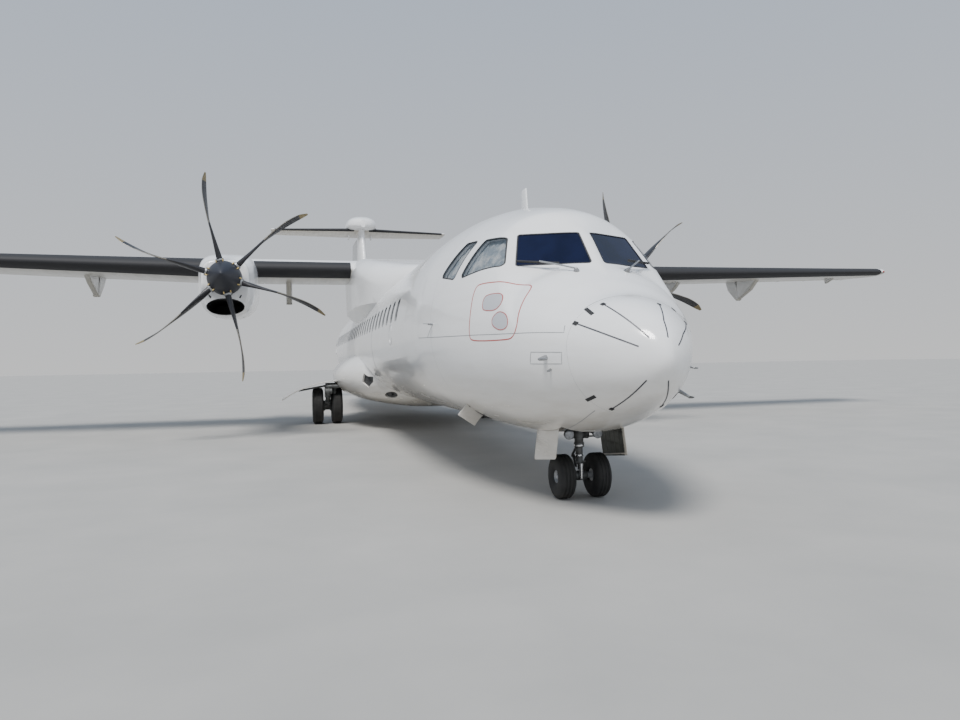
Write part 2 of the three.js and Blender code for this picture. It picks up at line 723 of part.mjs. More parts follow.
function propeller() {
  const root = rod([0, 0, 0], [0, 0, 330], BLADE_ROOT, BLADE_ROOT, 8);
  const blade = join(loft(BLADE_SECTIONS.map(bladeRing)), root);
  const hub = turned("y", [[0, -130], [150, -130], [HUB_RADIUS, -60], [HUB_RADIUS, 120], [0, 120]], ROUND_SIDES);
  const backplate = turned("y", [[0, 100], [300, 100], [300, SPINNER_BACK], [0, SPINNER_BACK]], ROUND_SIDES);
  const shaftEnd = at(ENGINE.stations[0]) - at(PROP_STATION) - SEAT_GAP;
  const shaft = rod([0, 0, 0], [0, shaftEnd, 0], SHAFT.radius);
  const turn = (k) => new THREE.Matrix4().makeRotationY((2 * Math.PI * k) / PROP_BLADES);
  const blades = Array.from({ length: PROP_BLADES }, (_, k) => moved(blade, turn(k)));
  return join(hub, backplate, shaft, ...blades);
}

// The spinner is a thin shell with a hole round each blade
const SPINNER_OUTER = [[0, -590], [75, -560], [190, -390], [275, -220], [322, -40], [328, 198]];

function spinner() {
  const inner = SPINNER_OUTER.slice(2).map(([r, y]) => [r - 17, y]).reverse();
  const profile = [...SPINNER_OUTER, ...inner, [0, -540]];
  const shell = turned("y", profile, ROUND_SIDES);
  const holes = Array.from({ length: PROP_BLADES }, (_, k) => {
    const angle = (2 * Math.PI * k) / PROP_BLADES;
    return rod([0, 0, 0], [400 * Math.sin(angle), 0, 400 * Math.cos(angle)], BLADE_SOCKET, BLADE_SOCKET, 8);
  });
  return cut(shell, ...holes);
}

// Tail: the fin and the tailplane
// height, leading-edge station, chord, thickness
const FIN_SECTIONS = [
  [3050, 22350, 4200, 400],
  [4000, 23000, 3560, 370],
  [6780, 24560, 2200, 270],
  [7160, 24700, 2150, 250],
];
// the hinge line's station and the nose's radius at both ends; at rest it stands over to starboard
const RUDDER = { heights: [3420, 6800], low: [25160, 128], high: [25900, 96], rest: 15 };
// station, half width and height of the dorsal fin's ridge
const DORSAL = [[19700, 30, 3270], [21300, 70, 3480], [22600, 120, 3900], [23350, 140, 4560]];
// station, half width, top
const BULLET_SECTIONS = [
  [24180, 60, 7300],
  [24400, 300, 7480],
  [24800, 440, 7590],
  [25400, 470, HEIGHT],
  [26000, 380, 7560],
  [26500, 210, 7330],
  [26750, 80, 7190],
];
const BULLET_BASE = 7070;
const BULLET_FLOOR = 6990;

function finRing([height, station, chord, thickness]) {
  return aerofoil(chord, thickness / chord, 0).map(([aft, up]) => [up, at(station) + aft, height]);
}

const fullFin = loft(FIN_SECTIONS.map(finRing));

function rudderAxis(height) {
  const share = (height - RUDDER.heights[0]) / (RUDDER.heights[1] - RUDDER.heights[0]);
  return [0, at(THREE.MathUtils.lerp(RUDDER.low[0], RUDDER.high[0], share)), height];
}

// The rudder's ends are square to its hinge line, so that they stay clear as it turns
function finOutline(forward, gap) {
  const [low, high] = RUDDER.heights;
  const slope = (RUDDER.high[0] - RUDDER.low[0]) / (high - low);
  const reach = 2000;
  const corner = (height, aft) => [rudderAxis(height)[1] + aft, height - slope * aft];
  return [
    corner(low + gap, -forward), corner(low + gap, reach),
    corner(high - gap, reach), corner(high - gap, -forward),
  ];
}

function rudder() {
  const [low, high] = RUDDER.heights;
  const blade = fullFin.intersect(prism("x", finOutline(0, SURFACE_GAP), -WIDE, WIDE));
  const nose = rod(rudderAxis(low + SURFACE_GAP + 3), rudderAxis(high - SURFACE_GAP - 3), RUDDER.low[1], RUDDER.high[1]);
  const pins = rod(rudderAxis(low + 0.4), rudderAxis(high - 0.4), 22, 22, 12);
  return turnedAbout(join(blade, nose, pins), rudderAxis(low), rudderAxis(high), RUDDER.rest);
}

function fin() {
  const dorsal = loft(DORSAL.map(([station, half, top]) => [
    [0, at(station), top], [half * 0.7, at(station), top - 60], [half, at(station), top - 400],
    [half, at(station), 2900], [-half, at(station), 2900], [-half, at(station), top - 400],
    [-half * 0.7, at(station), top - 60],
  ]));
  const rudderBay = prism("x", finOutline(RUDDER.low[1] + SURFACE_GAP, 0), -WIDE, WIDE);
  const bullet = loft(BULLET_SECTIONS.map(([station, halfWidth, top]) => ring(station, {
    centre: BULLET_BASE + 60, halfWidth, top, bottom: BULLET_FLOOR, sides: POD_SIDES,
  })));
  return cut(join(fullFin, dorsal, bullet), rudderBay, hullGrown, tailplaneBody(SEAT_GAP * 2));
}

// across, leading-edge station, chord, height, thickness ratio
const TAILPLANE_SECTIONS = [
  [0, 24850, 2050, TAILPLANE_HEIGHT - 10, 0.11],
  [TAILPLANE_SPAN / 2 - 60, 25370, 1300, TAILPLANE_HEIGHT, 0.1],
  [TAILPLANE_SPAN / 2, 25450, 1180, TAILPLANE_HEIGHT, 0.05],
];
const ELEVATOR = { edges: [500, 3560], inner: [26200, 70], outer: [26230, 43] };

function tailplaneBody(grow = 0) {
  const halves = [1, -1].map((side) => loft(TAILPLANE_SECTIONS.map(([across, station, chord, height, ratio]) =>
    aerofoil(chord, ratio + (2 * grow) / chord, 0).map(([aft, up]) =>
      [side * across, at(station) + aft, height + up]))));
  return join(...halves);
}

function elevatorAxis(across) {
  const share = (across - ELEVATOR.edges[0]) / (ELEVATOR.edges[1] - ELEVATOR.edges[0]);
  const station = THREE.MathUtils.lerp(ELEVATOR.inner[0], ELEVATOR.outer[0], share);
  return [across, at(station), TAILPLANE_HEIGHT - 10 * (1 - share)];
}

function elevatorOutline(forward, gap) {
  const [inner, outer] = ELEVATOR.edges;
  const y = (across) => elevatorAxis(across)[1] - forward;
  return [[inner + gap, y(inner)], [outer - gap, y(outer)], [outer - gap, at(28500)], [inner + gap, at(28500)]];
}

function elevator() {
  const [inner, outer] = ELEVATOR.edges;
  const blade = tailplaneBody().intersect(prism("z", elevatorOutline(0, SURFACE_GAP), 0, 9000));
  const ends = [inner + SURFACE_GAP + 3, outer - SURFACE_GAP - 3].map(elevatorAxis);
  const nose = rod(...ends, ELEVATOR.inner[1], ELEVATOR.outer[1]);
  const pins = rod(elevatorAxis(inner + 0.5), elevatorAxis(outer - 0.5), 20, 20, 12);
  return join(blade, nose, pins);
}

function tailplane() {
  const bay = prism("z", elevatorOutline(ELEVATOR.inner[1] + SURFACE_GAP, 0), 0, 9000);
  return cut(tailplaneBody(), bay, mirrored(bay));
}

// Wheels: tyre profiles are (radius, distance across), hubs fill the rim
const MAIN_TYRE = { radius: 432, rim: 203, half: 127, offset: 223, axle: 55 };
const NOSE_TYRE = { radius: 225, rim: 64, half: 95, offset: 200, axle: 32 };
const TYRE_SIDES = 24;

function tyre({ radius, rim, half }) {
  const wall = radius - rim;
  const profile = [
    [rim, -half * 0.72], [rim + wall * 0.4, -half], [radius - wall * 0.14, -half * 0.86],
    [radius, -half * 0.5], [radius, half * 0.5], [radius - wall * 0.14, half * 0.86],
    [rim + wall * 0.4, half], [rim, half * 0.72], [rim, -half * 0.72],
  ];
  return turned("x", profile, TYRE_SIDES);
}

// Both hubs of a pair and the axle between them turn together in the eye of the leg
const EYE_FACETS = Math.cos(Math.PI / TYRE_SIDES);
const eyeBore = (axle) => (axle + SEAT_GAP) / EYE_FACETS;

function hubs({ rim, half, offset, axle }) {
  const seat = rim - SEAT_GAP;
  const face = offset + half * 0.72;
  const back = offset - half * 0.72;
  const profile = [
    [0, -face], [seat, -face], [seat, -back], [axle, -back],
    [axle, back], [seat, back], [seat, face], [0, face],
  ];
  return turned("x", profile, TYRE_SIDES);
}

// A ring round the axle, between the two wheels of a pair
function eye(centre, bore, radius, half) {
  const profile = [[bore, -half], [radius, -half], [radius, half], [bore, half], [bore, -half]];
  return moved(turned("x", profile, TYRE_SIDES), new THREE.Matrix4().makeTranslation(...centre));
}

// Main leg on the port side: the eye, an upright, a trailing arm and two beams to the bay's wall
const LEG = { radius: 60, beam: 48, beamHeight: 925, arm: 430, eye: 105, eyeHalf: 80 };

function mainLeg() {
  const x = TRACK / 2;
  const y = at(MAIN_GEAR_STATION);
  const axle = MAIN_TYRE.radius;
  const wall = WHEEL_BAY.inner + SEAT_GAP;
  const { radius, beam, beamHeight, arm } = LEG;
  const ringEye = eye([x, y, axle], eyeBore(MAIN_TYRE.axle), LEG.eye, LEG.eyeHalf);
  const frame = join(
    rod([x, y, axle + 85], [x, y, beamHeight], radius),
    rod([x + 40, y, beamHeight], [wall, y, beamHeight], beam),
    rod([x, y - 60, axle + 60], [x, y - arm, beamHeight - 20], radius * 0.8),
    rod([x + 40, y - arm, beamHeight - 20], [wall, y - arm, beamHeight - 20], beam),
  );
  return join(ringEye, frame);
}

// Nose gear: a fixed leg in the bay, and below it the steered part with the eye
const NOSE_LEG = { radius: 62, piston: 42, foot: 570, eye: 72, eyeHalf: 80, brace: 30 };
const noseY = at(NOSE_GEAR_STATION);

function noseLeg() {
  const top = NOSE_BAY.top - SEAT_GAP;
  const cylinder = rod([0, noseY, NOSE_LEG.foot + SEAT_GAP], [0, noseY, top], NOSE_LEG.radius);
  const collar = rod([0, noseY, 640], [0, noseY, 740], NOSE_LEG.radius + 22);
  const brace = rod([0, noseY, 760], [0, noseY - 560, 1150], NOSE_LEG.brace, NOSE_LEG.brace, 12);
  return join(cylinder, collar, brace);
}

function noseFork() {
  const { piston, foot, eyeHalf } = NOSE_LEG;
  const axle = NOSE_TYRE.radius;
  const ringEye = eye([0, noseY, axle], eyeBore(NOSE_TYRE.axle), NOSE_LEG.eye, eyeHalf);
  const y = noseY;
  const link = prism("x", [[y + 20, 300], [y + 150, 410], [y + 20, 530], [y + 20, 500], [y + 105, 410],
    [y + 20, 330]], -30, 30);
  return join(ringEye, rod([0, y, axle + 60], [0, y, foot], piston), link,
    rod([0, y, foot - 70], [0, y, foot], NOSE_LEG.radius + 8));
}

const NOSE_DOOR = { inner: 372, thick: 14, stations: [1430, 2155] };

function noseDoor() {
  const [front, back] = NOSE_DOOR.stations.map(at);
  const outline = [[front, 900], [front, 470], [front + 60, 410], [back - 60, 370], [back, 420], [back, 900]];
  return prism("x", outline, NOSE_DOOR.inner, NOSE_DOOR.inner + NOSE_DOOR.thick);
}

// Cockpit furniture
const DECK = DECK_FLOOR + SEAT_GAP;

function instrumentPanel() {
  const profile = [
    [1330, DECK], [1330, 2060], [1500, 2190], [1860, 2215], [1870, 2170], [1760, 2130],
    [1700, 1700], [1700, DECK],
  ];
  const panel = prism("x", profile.map(([station, height]) => [at(station), height]), -1000, 1000);
  const pedestal = box([-130, 130], [at(1650), at(2150)], [DECK, 1800]);
  return join(panel, pedestal).intersect(fuselageBody(WALL + SEAT_GAP * 2));
}

const PILOT_SEAT = { middle: 430, half: 235, stations: [2160, 2620] };

function pilotSeat() {
  const { middle, half, stations } = PILOT_SEAT;
  const [front, back] = stations.map(at);
  const across = [middle - half, middle + half];
  return join(
    box([middle - half + 70, middle + half - 70], [front + 60, back - 60], [DECK, 1620]),
    box(across, [front, back], [1600, 1740]),
    prism("x", [[back - 110, 1700], [back + 60, 2330], [back + 130, 2330], [back, 1620]], ...across),
    prism("x", [[back + 50, 2320], [back + 90, 2500], [back + 150, 2490], [back + 120, 2320]],
      middle - 130, middle + 130),
  );
}

// Finishes: colour, roughness and metalness
const FINISHES = {
  whitePaint: [0xeef0f2, 0.22, 0.1],
  paleGrey: [0xb9bbb8, 0.45, 0.1],
  navy: [0x14161c, 0.55, 0],
  screen: [0x22304a, 0.06, 0],
  metal: [0x7d8084, 0.4, 0.8],
  darkMetal: [0x3c3d40, 0.5, 0.7],
  rubber: [0x141414, 0.85, 0],
  trim: [0x2c2e33, 0.7, 0],
  cushion: [0x3a4150, 0.9, 0],
};

const materials = Object.fromEntries(Object.entries(FINISHES).map(([name, [color, roughness, metalness]]) =>
  [name, new THREE.MeshStandardMaterial({ name, color, roughness, metalness })]));

const aircraft = new THREE.Group();

function add(name, solid, finish, parent = aircraft) {
  const mesh = new THREE.Mesh(toGeometry(solid), materials[finish]);
  mesh.name = name;
  parent.add(mesh);
  return mesh;
}

// A port piece and its mirror image, each trimmed by what it stands against
function addPair(name, solid, finish, trim = (piece) => piece) {
  add(`${name}_left`, trim(solid), finish);
  add(`${name}_right`, trim(mirrored(solid)), finish);
}

function group(x, y, z) {
  const made = new THREE.Group();
  made.position.set(x, y, z);
  aircraft.add(made);
  return made;
}

add("radome", between(hull, 0, RADOME_END), "whitePaint");
add("nose_shell", noseShell(), "whitePaint");
add("forward_fuselage", forwardFuselage(), "whitePaint");
add("centre_fuselage", between(hull, FORWARD_END, CENTRE_END), "whitePaint");
add("aft_fuselage", aftFuselage(), "whitePaint");
add("tail_cone", tailCone(), "whitePaint");
for (const name of Object.keys(WINDOWS)) addPair(name, pane(name), "screen");
add("instrument_panel", instrumentPanel(), "trim");
addPair("pilot_seat", pilotSeat(), "cushion");

add("cargo_door", doorPanel(CARGO_DOOR, 1, cargoKnuckles), "whitePaint");
add("passenger_door", doorPanel(PASSENGER_DOOR, 1, passengerKnuckles), "whitePaint");
add("service_door", doorPanel(SERVICE_DOOR, -1, serviceKnuckles), "whitePaint");

add("wing_fairing", wingFairing(), "whitePaint");
add("wing_centre", cut(wingCentre(), hullGrown), "paleGrey");
addPair("outer_wing", outerWing(), "paleGrey");
addPair("inner_flap", flap(INNER_FLAP, HINGE_FAIRINGS.inner, FLAP_PIVOT.inner, centreWing()), "paleGrey");
addPair("outer_flap", flap(OUTER_FLAP, HINGE_FAIRINGS.outer, FLAP_PIVOT.outer, fullWing), "paleGrey");
addPair("aileron", aileron(fullWing), "paleGrey");

addPair("nacelle", nacelle(), "whitePaint");
addPair("engine", engine(), "darkMetal");
for (const [side, sign, phase] of [["left", 1, PORT_PHASE], ["right", -1, STARBOARD_PHASE]]) {
  const hubGroup = group(sign * PROP_OFFSET, at(PROP_STATION), PROP_HEIGHT);
  hubGroup.rotation.y = degrees(phase);
  add(`propeller_${side}`, propeller(), "navy", hubGroup);
  add(`spinner_${side}`, spinner(), "navy", hubGroup);
}

add("fin", fin(), "whitePaint");
add("rudder", rudder(), "whitePaint");
add("tailplane", tailplane(), "paleGrey");
addPair("elevator", elevator(), "paleGrey");

add("nose_leg", noseLeg(), "metal");
add("nose_fork", noseFork(), "metal");
addPair("nose_gear_door", noseDoor(), "whitePaint", (piece) => cut(piece, hullGrown));
add("belly_fairing", bellyFairing(), "whitePaint");
addPair("main_leg", mainLeg(), "metal");
addPair("main_gear_door", mainDoor(), "whitePaint", (piece) => cut(piece, bellyBody(SEAT_GAP * 2)));

function addWheels(name, size, x, station) {
  const wheels = group(x, at(station), size.radius);
  add(`${name}_hubs`, hubs(size), "darkMetal", wheels);
  for (const [place, sign] of [["port", 1], ["starboard", -1]]) {
    add(`${name}_tyre_${place}`, tyre(size), "rubber", wheels).position.x = sign * size.offset;
  }
}
addWheels("nose", NOSE_TYRE, 0, NOSE_GEAR_STATION);
addWheels("main_left", MAIN_TYRE, TRACK / 2, MAIN_GEAR_STATION);
addWheels("main_right", MAIN_TYRE, -TRACK / 2, MAIN_GEAR_STATION);

export default aircraft;
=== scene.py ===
# %% [markdown]
# # A high-wing turboprop airliner
# The CAD model gives every place and size in metres: +Z is up, the nose points to -Y and the
# aircraft's left side is towards +X. It is loaded first and never changed. Each cell below
# dresses one part of it, and the new piece rides on the CAD body that it belongs to.

# %% Load the frame
import functools
import math
import bmesh
import bpy
import numpy as np
from mathutils import Matrix, Vector


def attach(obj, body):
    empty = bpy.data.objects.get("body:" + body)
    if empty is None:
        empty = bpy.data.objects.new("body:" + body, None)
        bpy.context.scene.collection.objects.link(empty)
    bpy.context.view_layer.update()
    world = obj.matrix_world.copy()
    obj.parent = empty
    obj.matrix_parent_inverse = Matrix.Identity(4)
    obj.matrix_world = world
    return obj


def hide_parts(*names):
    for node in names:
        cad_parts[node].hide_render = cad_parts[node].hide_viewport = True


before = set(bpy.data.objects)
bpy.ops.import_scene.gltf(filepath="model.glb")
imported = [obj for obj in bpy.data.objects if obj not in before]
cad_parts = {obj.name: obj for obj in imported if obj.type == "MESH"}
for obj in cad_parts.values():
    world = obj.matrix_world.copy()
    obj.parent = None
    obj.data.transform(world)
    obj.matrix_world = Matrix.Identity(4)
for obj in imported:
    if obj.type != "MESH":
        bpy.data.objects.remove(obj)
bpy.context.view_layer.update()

# %% [markdown]
# Operators act on whatever is selected, so a few small helpers keep the selection to one piece,
# open it for editing, and pick its vertices, edges or faces by a test on their place.

# %% Helpers for selecting and editing
def deselect():
    if bpy.context.object and bpy.context.object.mode != "OBJECT":
        bpy.ops.object.mode_set(mode="OBJECT")
    bpy.ops.object.select_all(action="DESELECT")


def hold(piece):
    deselect()
    piece.select_set(True)
    bpy.context.view_layer.objects.active = piece
    return piece


def edit(piece, start="DESELECT"):
    hold(piece)
    bpy.ops.object.mode_set(mode="EDIT")
    bpy.ops.mesh.select_all(action=start)


def done():
    bpy.ops.object.mode_set(mode="OBJECT")
    return bpy.context.object


def pick(kind, test):
    """Selects the faces, edges or vertices of the piece in edit mode that pass a test."""
    mesh = bmesh.from_edit_mesh(bpy.context.object.data)
    bpy.ops.mesh.select_mode(type={"faces": "FACE", "edges": "EDGE", "verts": "VERT"}[kind])
    bpy.ops.mesh.select_all(action="DESELECT")
    for item in getattr(mesh, kind):
        if test(item):
            item.select_set(True)
    mesh.select_flush_mode()
    bmesh.update_edit_mesh(bpy.context.object.data)


def settle():
    """Puts the piece's place into its mesh, so that its object sits at the origin."""
    bpy.ops.object.transform_apply(location=True, rotation=True, scale=True)
    return bpy.context.object


def modify(piece, kind, **settings):
    hold(piece)
    modifier = piece.modifiers.new(kind.title(), kind)
    for name, value in settings.items():
        setattr(modifier, name, value)
    bpy.ops.object.modifier_apply(modifier=modifier.name)
    return piece


def soften(piece, width, segments=3, angle=50):
    """Rounds every edge that turns by more than an angle in degrees."""
    return modify(piece, "BEVEL", width=width, segments=segments, limit_method="ANGLE",
                  angle_limit=math.radians(angle))


def remove(*pieces):
    for piece in pieces:
        bpy.data.objects.remove(piece)


def joined(pieces):
    hold(pieces[0])
    for piece in pieces[1:]:
        piece.select_set(True)
    if len(pieces) > 1:
        bpy.ops.object.join()
    return bpy.context.object


def copy_of(piece, mirror=False):
    """A copy with its own mesh, mirrored to the other side where asked."""
    twin = piece.copy()
    twin.data = piece.data.copy()
    bpy.context.scene.collection.objects.link(twin)
    hold(twin)
    if mirror:
        twin.data.transform(Matrix.Scale(-1, 4, (1, 0, 0)))
        twin.data.flip_normals()
    return twin


def both(pieces):
    """The pieces and their mirror images, as one mesh."""
    return joined(pieces + [copy_of(piece, mirror=True) for piece in pieces])


def face_outwards(piece):
    edit(piece, "SELECT")
    bpy.ops.mesh.remove_doubles(threshold=1e-5)
    bpy.ops.mesh.normals_make_consistent(inside=False)
    return done()


def smooth(piece, angle=35):
    hold(piece)
    bpy.ops.object.shade_smooth_by_angle(angle=math.radians(angle))
    return piece


# %% [markdown]
# Each finished piece is named, given its finish, and tied to its CAD body. Where it stands for
# CAD nodes, those are hidden and stay only for collision. Most pieces come in a left and a
# right one, so a second helper makes both from the left one.

# %% Helpers that hand pieces over
made = []


def hand_over(piece, name, slot, finish, *nodes, body="airframe", angle=35):
    """Hands over a piece, or a list of pieces as one."""
    piece = smooth(joined(piece) if isinstance(piece, list) else piece, angle)
    piece.name = piece.data.name = name
    piece.data.materials.clear()
    piece.data.materials.append(finish)
    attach(piece, body)
    if nodes:
        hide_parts(*nodes)
    made.append(name)
    print(name, len(piece.data.polygons), "faces")
    return piece


def hand_over_pair(piece, name, slot, finish, *nodes, body="airframe", angle=35):
    """Hands over a left piece and its mirror image. In the names {} stands for the side."""
    piece = joined(piece) if isinstance(piece, list) else piece
    pair = [hand_over(copy_of(piece, mirror=side == "right"), name.format(side), slot, finish,
                      *(node.format(side) for node in nodes), body=body.format(side), angle=angle)
            for side in ("left", "right")]
    remove(piece)
    return pair

# %% [markdown]
# Most finishes here are worked out from a point's place on the aircraft: a seam at a station,
# dirt under the belly, a darker edge. Written as nodes that is a long chain of Math nodes, so a
# small class wraps a socket and turns an ordinary Python sum into those nodes.

# %% Shader sums written as Python
class Amount:
    """A number socket that can be used in a sum."""

    def __init__(self, finish, socket):
        self.finish = finish
        self.socket = socket

    def sum(self, operation, *others):
        return self.finish.put("ShaderNodeMath", {"operation": operation}, self, *others)

    def __add__(self, other):
        return self.sum("ADD", other)

    def __sub__(self, other):
        return self.sum("SUBTRACT", other)

    def __mul__(self, other):
        return self.sum("MULTIPLY", other)

    def __truediv__(self, other):
        return self.sum("DIVIDE", other)

    def __rsub__(self, other):
        return self.finish.put("ShaderNodeMath", {"operation": "SUBTRACT"}, other, self)

    def __lt__(self, other):
        return self.sum("LESS_THAN", other)

    def __gt__(self, other):
        return self.sum("GREATER_THAN", other)

    __radd__ = __add__
    __rmul__ = __mul__

    def size(self):
        return self.sum("ABSOLUTE")

    def most(self, other):
        return self.sum("MAXIMUM", other)

    def between(self, low, high):
        """Rises from 0 at low to 1 at high, and stays there."""
        return self.finish.put("ShaderNodeMapRange", {}, self, low, high, 0.0, 1.0)

    def near(self, middle, half, soft):
        """1 within half of the middle, falling to 0 over a soft edge."""
        return 1 - (self - middle).size().between(half, half + soft)


class Finish:
    """One procedural material: its nodes are added by put and wired to the main shader."""

    def __init__(self, name, **fixed):
        self.material = bpy.data.materials.new(name)
        self.material.use_nodes = True
        self.tree = self.material.node_tree
        self.shader = self.tree.nodes["Principled BSDF"]
        for socket, value in fixed.items():
            self.shader.inputs[socket.replace("_", " ")].default_value = value
        place = self.tree.nodes.new("ShaderNodeTexCoord").outputs["Object"]
        parts = self.tree.nodes.new("ShaderNodeSeparateXYZ")
        self.tree.links.new(place, parts.inputs[0])
        self.place = place
        self.x, self.y, self.z = [Amount(self, parts.outputs[k]) for k in range(3)]

    def put(self, kind, settings, *values, **named):
        """Adds a node: its settings first, then values or links for its sockets."""
        node = self.tree.nodes.new(kind)
        for name, value in settings.items():
            setattr(node, name, value)
        slots = list(enumerate(values)) + [(name.replace("_", " "), v) for name, v in named.items()]
        for key, value in slots:
            self.feed(node.inputs[key], value)
        return Amount(self, node.outputs[0])

    def feed(self, socket, value):
        if isinstance(value, Amount):
            value = value.socket
        if isinstance(value, bpy.types.NodeSocket):
            self.tree.links.new(value, socket)
        elif socket.type == "RGBA":
            socket.default_value = (*value, 1.0)
        else:
            socket.default_value = value

    def mix(self, share, first, second):
        """A colour between two, by a share from 0 to 1."""
        node = self.tree.nodes.new("ShaderNodeMix")
        node.data_type = "RGBA"
        self.feed(node.inputs[0], share)
        self.feed(node.inputs[6], first)
        self.feed(node.inputs[7], second)
        return Amount(self, node.outputs[2])

    def away(self, first, second):
        """The distance from the line where both amounts are zero."""
        return (first * first + second * second).sum("SQRT")

    def noise(self, scale, detail=4.0, roughness=0.55, stretch=None):
        place = self.place
        if stretch:
            place = self.put("ShaderNodeMapping", {}, place, Scale=stretch)
        return self.put("ShaderNodeTexNoise", {}, Vector=place, Scale=scale, Detail=detail,
                        Roughness=roughness)

    def bump(self, height, distance, strength=1.0):
        self.feed(self.shader.inputs["Normal"], self.put(
            "ShaderNodeBump", {}, Height=height, Distance=distance, Strength=strength))

    def give(self, **sockets):
        for name, value in sockets.items():
            self.feed(self.shader.inputs[name.replace("_", " ")], value)
        return self.material

# %% [markdown]
# ## The fuselage's surface
# The real skin is smooth in every direction, so it isn't built from the CAD's flat facets but
# from the same section table, with a smooth curve through its rows. The curve keeps to the
# rows' highs and lows, so the hull never bulges past its true size.

# %% A smooth curve through a table
def curve_through(xs, ys):
    xs, ys = np.array(xs, float), np.array(ys, float)
    step = np.diff(xs)
    rise = np.diff(ys) / step
    slope = np.zeros_like(ys)
    before, after = 2 * step[1:] + step[:-1], step[1:] + 2 * step[:-1]
    steady = rise[1:] * rise[:-1] > 0
    safe = np.where(steady, rise[:-1], 1), np.where(steady, rise[1:], 1)
    slope[1:-1] = np.where(steady, (before + after) / (before / safe[0] + after / safe[1]), 0)
    slope[0], slope[-1] = rise[0], rise[-1]

    def value(x):
        x = np.clip(x, xs[0], xs[-1])
        i = np.clip(np.searchsorted(xs, x) - 1, 0, len(step) - 1)
        t = (x - xs[i]) / step[i]
        flat = ys[i] * (1 + 2 * t) * (1 - t) ** 2 + ys[i + 1] * t * t * (3 - 2 * t)
        return flat + step[i] * t * (1 - t) * (slope[i] * (1 - t) - slope[i + 1] * t)
    return value


# %% [markdown]
# Stations are metres aft of the nose tip. Ahead of the windscreen the nose has a hump of its
# own, and the cabin's roof rises behind it, cut by two flat windscreen planes. A point's
# distance from the middle of its ring is the larger of hump and cabin, and the planes trim the
# cabin with a softly rounded crease.

# %% The fuselage's sections
AFT = -13.583
NOSE_END, TAIL_TIP = 4.3, 27.166
NOSE_MIDDLE, KEEL_POWER = 1.416, 2.15
NOSE = np.array([
    [0, 1416, 1416, 1416, 0], [50, 1580, 1510, 1270, 120], [150, 1700, 1610, 1165, 240],
    [300, 1810, 1710, 1066, 380], [500, 1910, 1805, 974, 520], [750, 1990, 1980, 884, 670],
    [1000, 2140, 2220, 800, 810], [1300, 2310, 2500, 726, 930], [1600, 2380, 2690, 672, 1020],
    [2000, 2440, 2980, 643, 1140], [2500, 2500, 3117, 638, 1260], [3000, 2545, 3210, 642, 1340],
    [3600, 2590, 3255, 650, 1410], [4300, 2580, 3262.5, 652, 1432.5],
]) / 1000
TAIL = np.array([
    [17600, 3262.5, 680, 1432.5, 1830], [19000, 3262.5, 735, 1425, 1845],
    [20500, 3260, 930, 1375, 1900], [22000, 3250, 1260, 1245, 2030],
    [23500, 3225, 1660, 1030, 2260], [25000, 3165, 2060, 745, 2500],
    [26300, 3030, 2375, 420, 2670], [27000, 2880, 2570, 170, 2720],
    [27166, 2780, 2680, 60, 2730],
]) / 1000
rows = np.sqrt(np.concatenate([NOSE[:, 0], TAIL[:, 0]]))
hump_top = curve_through(np.sqrt(NOSE[:, 0]), NOSE[:, 1])
roof, keel, half_width = (curve_through(rows, np.concatenate([NOSE[:, k + 1], TAIL[:, k]]))
                          for k in (1, 2, 3))
tail_middle = curve_through(TAIL[:, 0], TAIL[:, 4])


def middle(station):
    ahead = 1 - np.minimum(station, NOSE_END) / NOSE_END
    return np.where(station < NOSE_END, NOSE_MIDDLE + 0.414 * (1 - ahead ** 2), tail_middle(station))


# %% The windscreen's two planes
SCREEN = {"inner top": (0.055, 1.598, 2.684), "inner base": (0.058, 1.264, 2.322),
          "outer base": (0.717, 1.631, 2.331), "outer top": (0.6, 1.907, 2.691)}


def spot(across, station, height):
    return Vector((across, station + AFT, height))


base = spot(*SCREEN["inner base"])
pane_normal = (spot(*SCREEN["outer base"]) - base).cross(spot(*SCREEN["inner top"]) - base)
pane_normal = np.array(pane_normal.normalized())
print("windscreen plane faces", np.round(pane_normal, 3))


# %% A point on the hull
def smaller(a, b, soft):
    blend = np.clip(1 - abs(a - b) / soft, 0, 1)
    return np.minimum(a, b) - blend ** 2 * soft / 4


def plane_reach(station, angle, side, inset):
    normal = pane_normal * (side, 1, 1)
    start = np.array(base) * (side, 1, 1)
    centre = middle(station)
    to_plane = (start[0] * normal[0] + (start[1] - station - AFT) * normal[1]
                + (start[2] - centre) * normal[2] - inset)
    towards = np.sin(angle) * normal[0] + np.cos(angle) * normal[2]
    return np.where(towards > 0.02, to_plane / np.maximum(towards, 0.02), 99)


def section_reach(across, up, angle, power):
    sine, cosine = abs(np.sin(angle)), abs(np.cos(angle))
    across, up = np.maximum(across, 1e-6), np.maximum(up, 1e-6)
    return ((sine / across) ** power + (cosine / up) ** power) ** (-1 / power)


def hull_point(station, angle, inset=0.0):
    """The point at a station, in a direction turned from straight up towards the left side."""
    station, angle = np.broadcast_arrays(np.asarray(station, float), np.asarray(angle, float))
    wide, centre = half_width(np.sqrt(station)) - inset, middle(station)
    upper = np.cos(angle) > 0
    hump = section_reach(wide, hump_top(np.sqrt(station)) - inset - centre, angle, 2)
    cabin = section_reach(wide, roof(np.sqrt(station)) - inset - centre, angle, 2)
    under = section_reach(wide, centre - keel(np.sqrt(station)) - inset, angle, KEEL_POWER)
    trimmed = cabin
    for side in (1, -1):
        trimmed = smaller(trimmed, plane_reach(station, angle, side, inset), 0.05)
    soft = np.clip(abs(hump - cabin), 1e-4, 0.05)
    high = np.where(station < NOSE_END, -smaller(-hump, -trimmed, soft), cabin)
    reach = np.where(upper, high, under)
    return np.stack([reach * np.sin(angle), station + AFT, centre + reach * np.cos(angle)], -1)


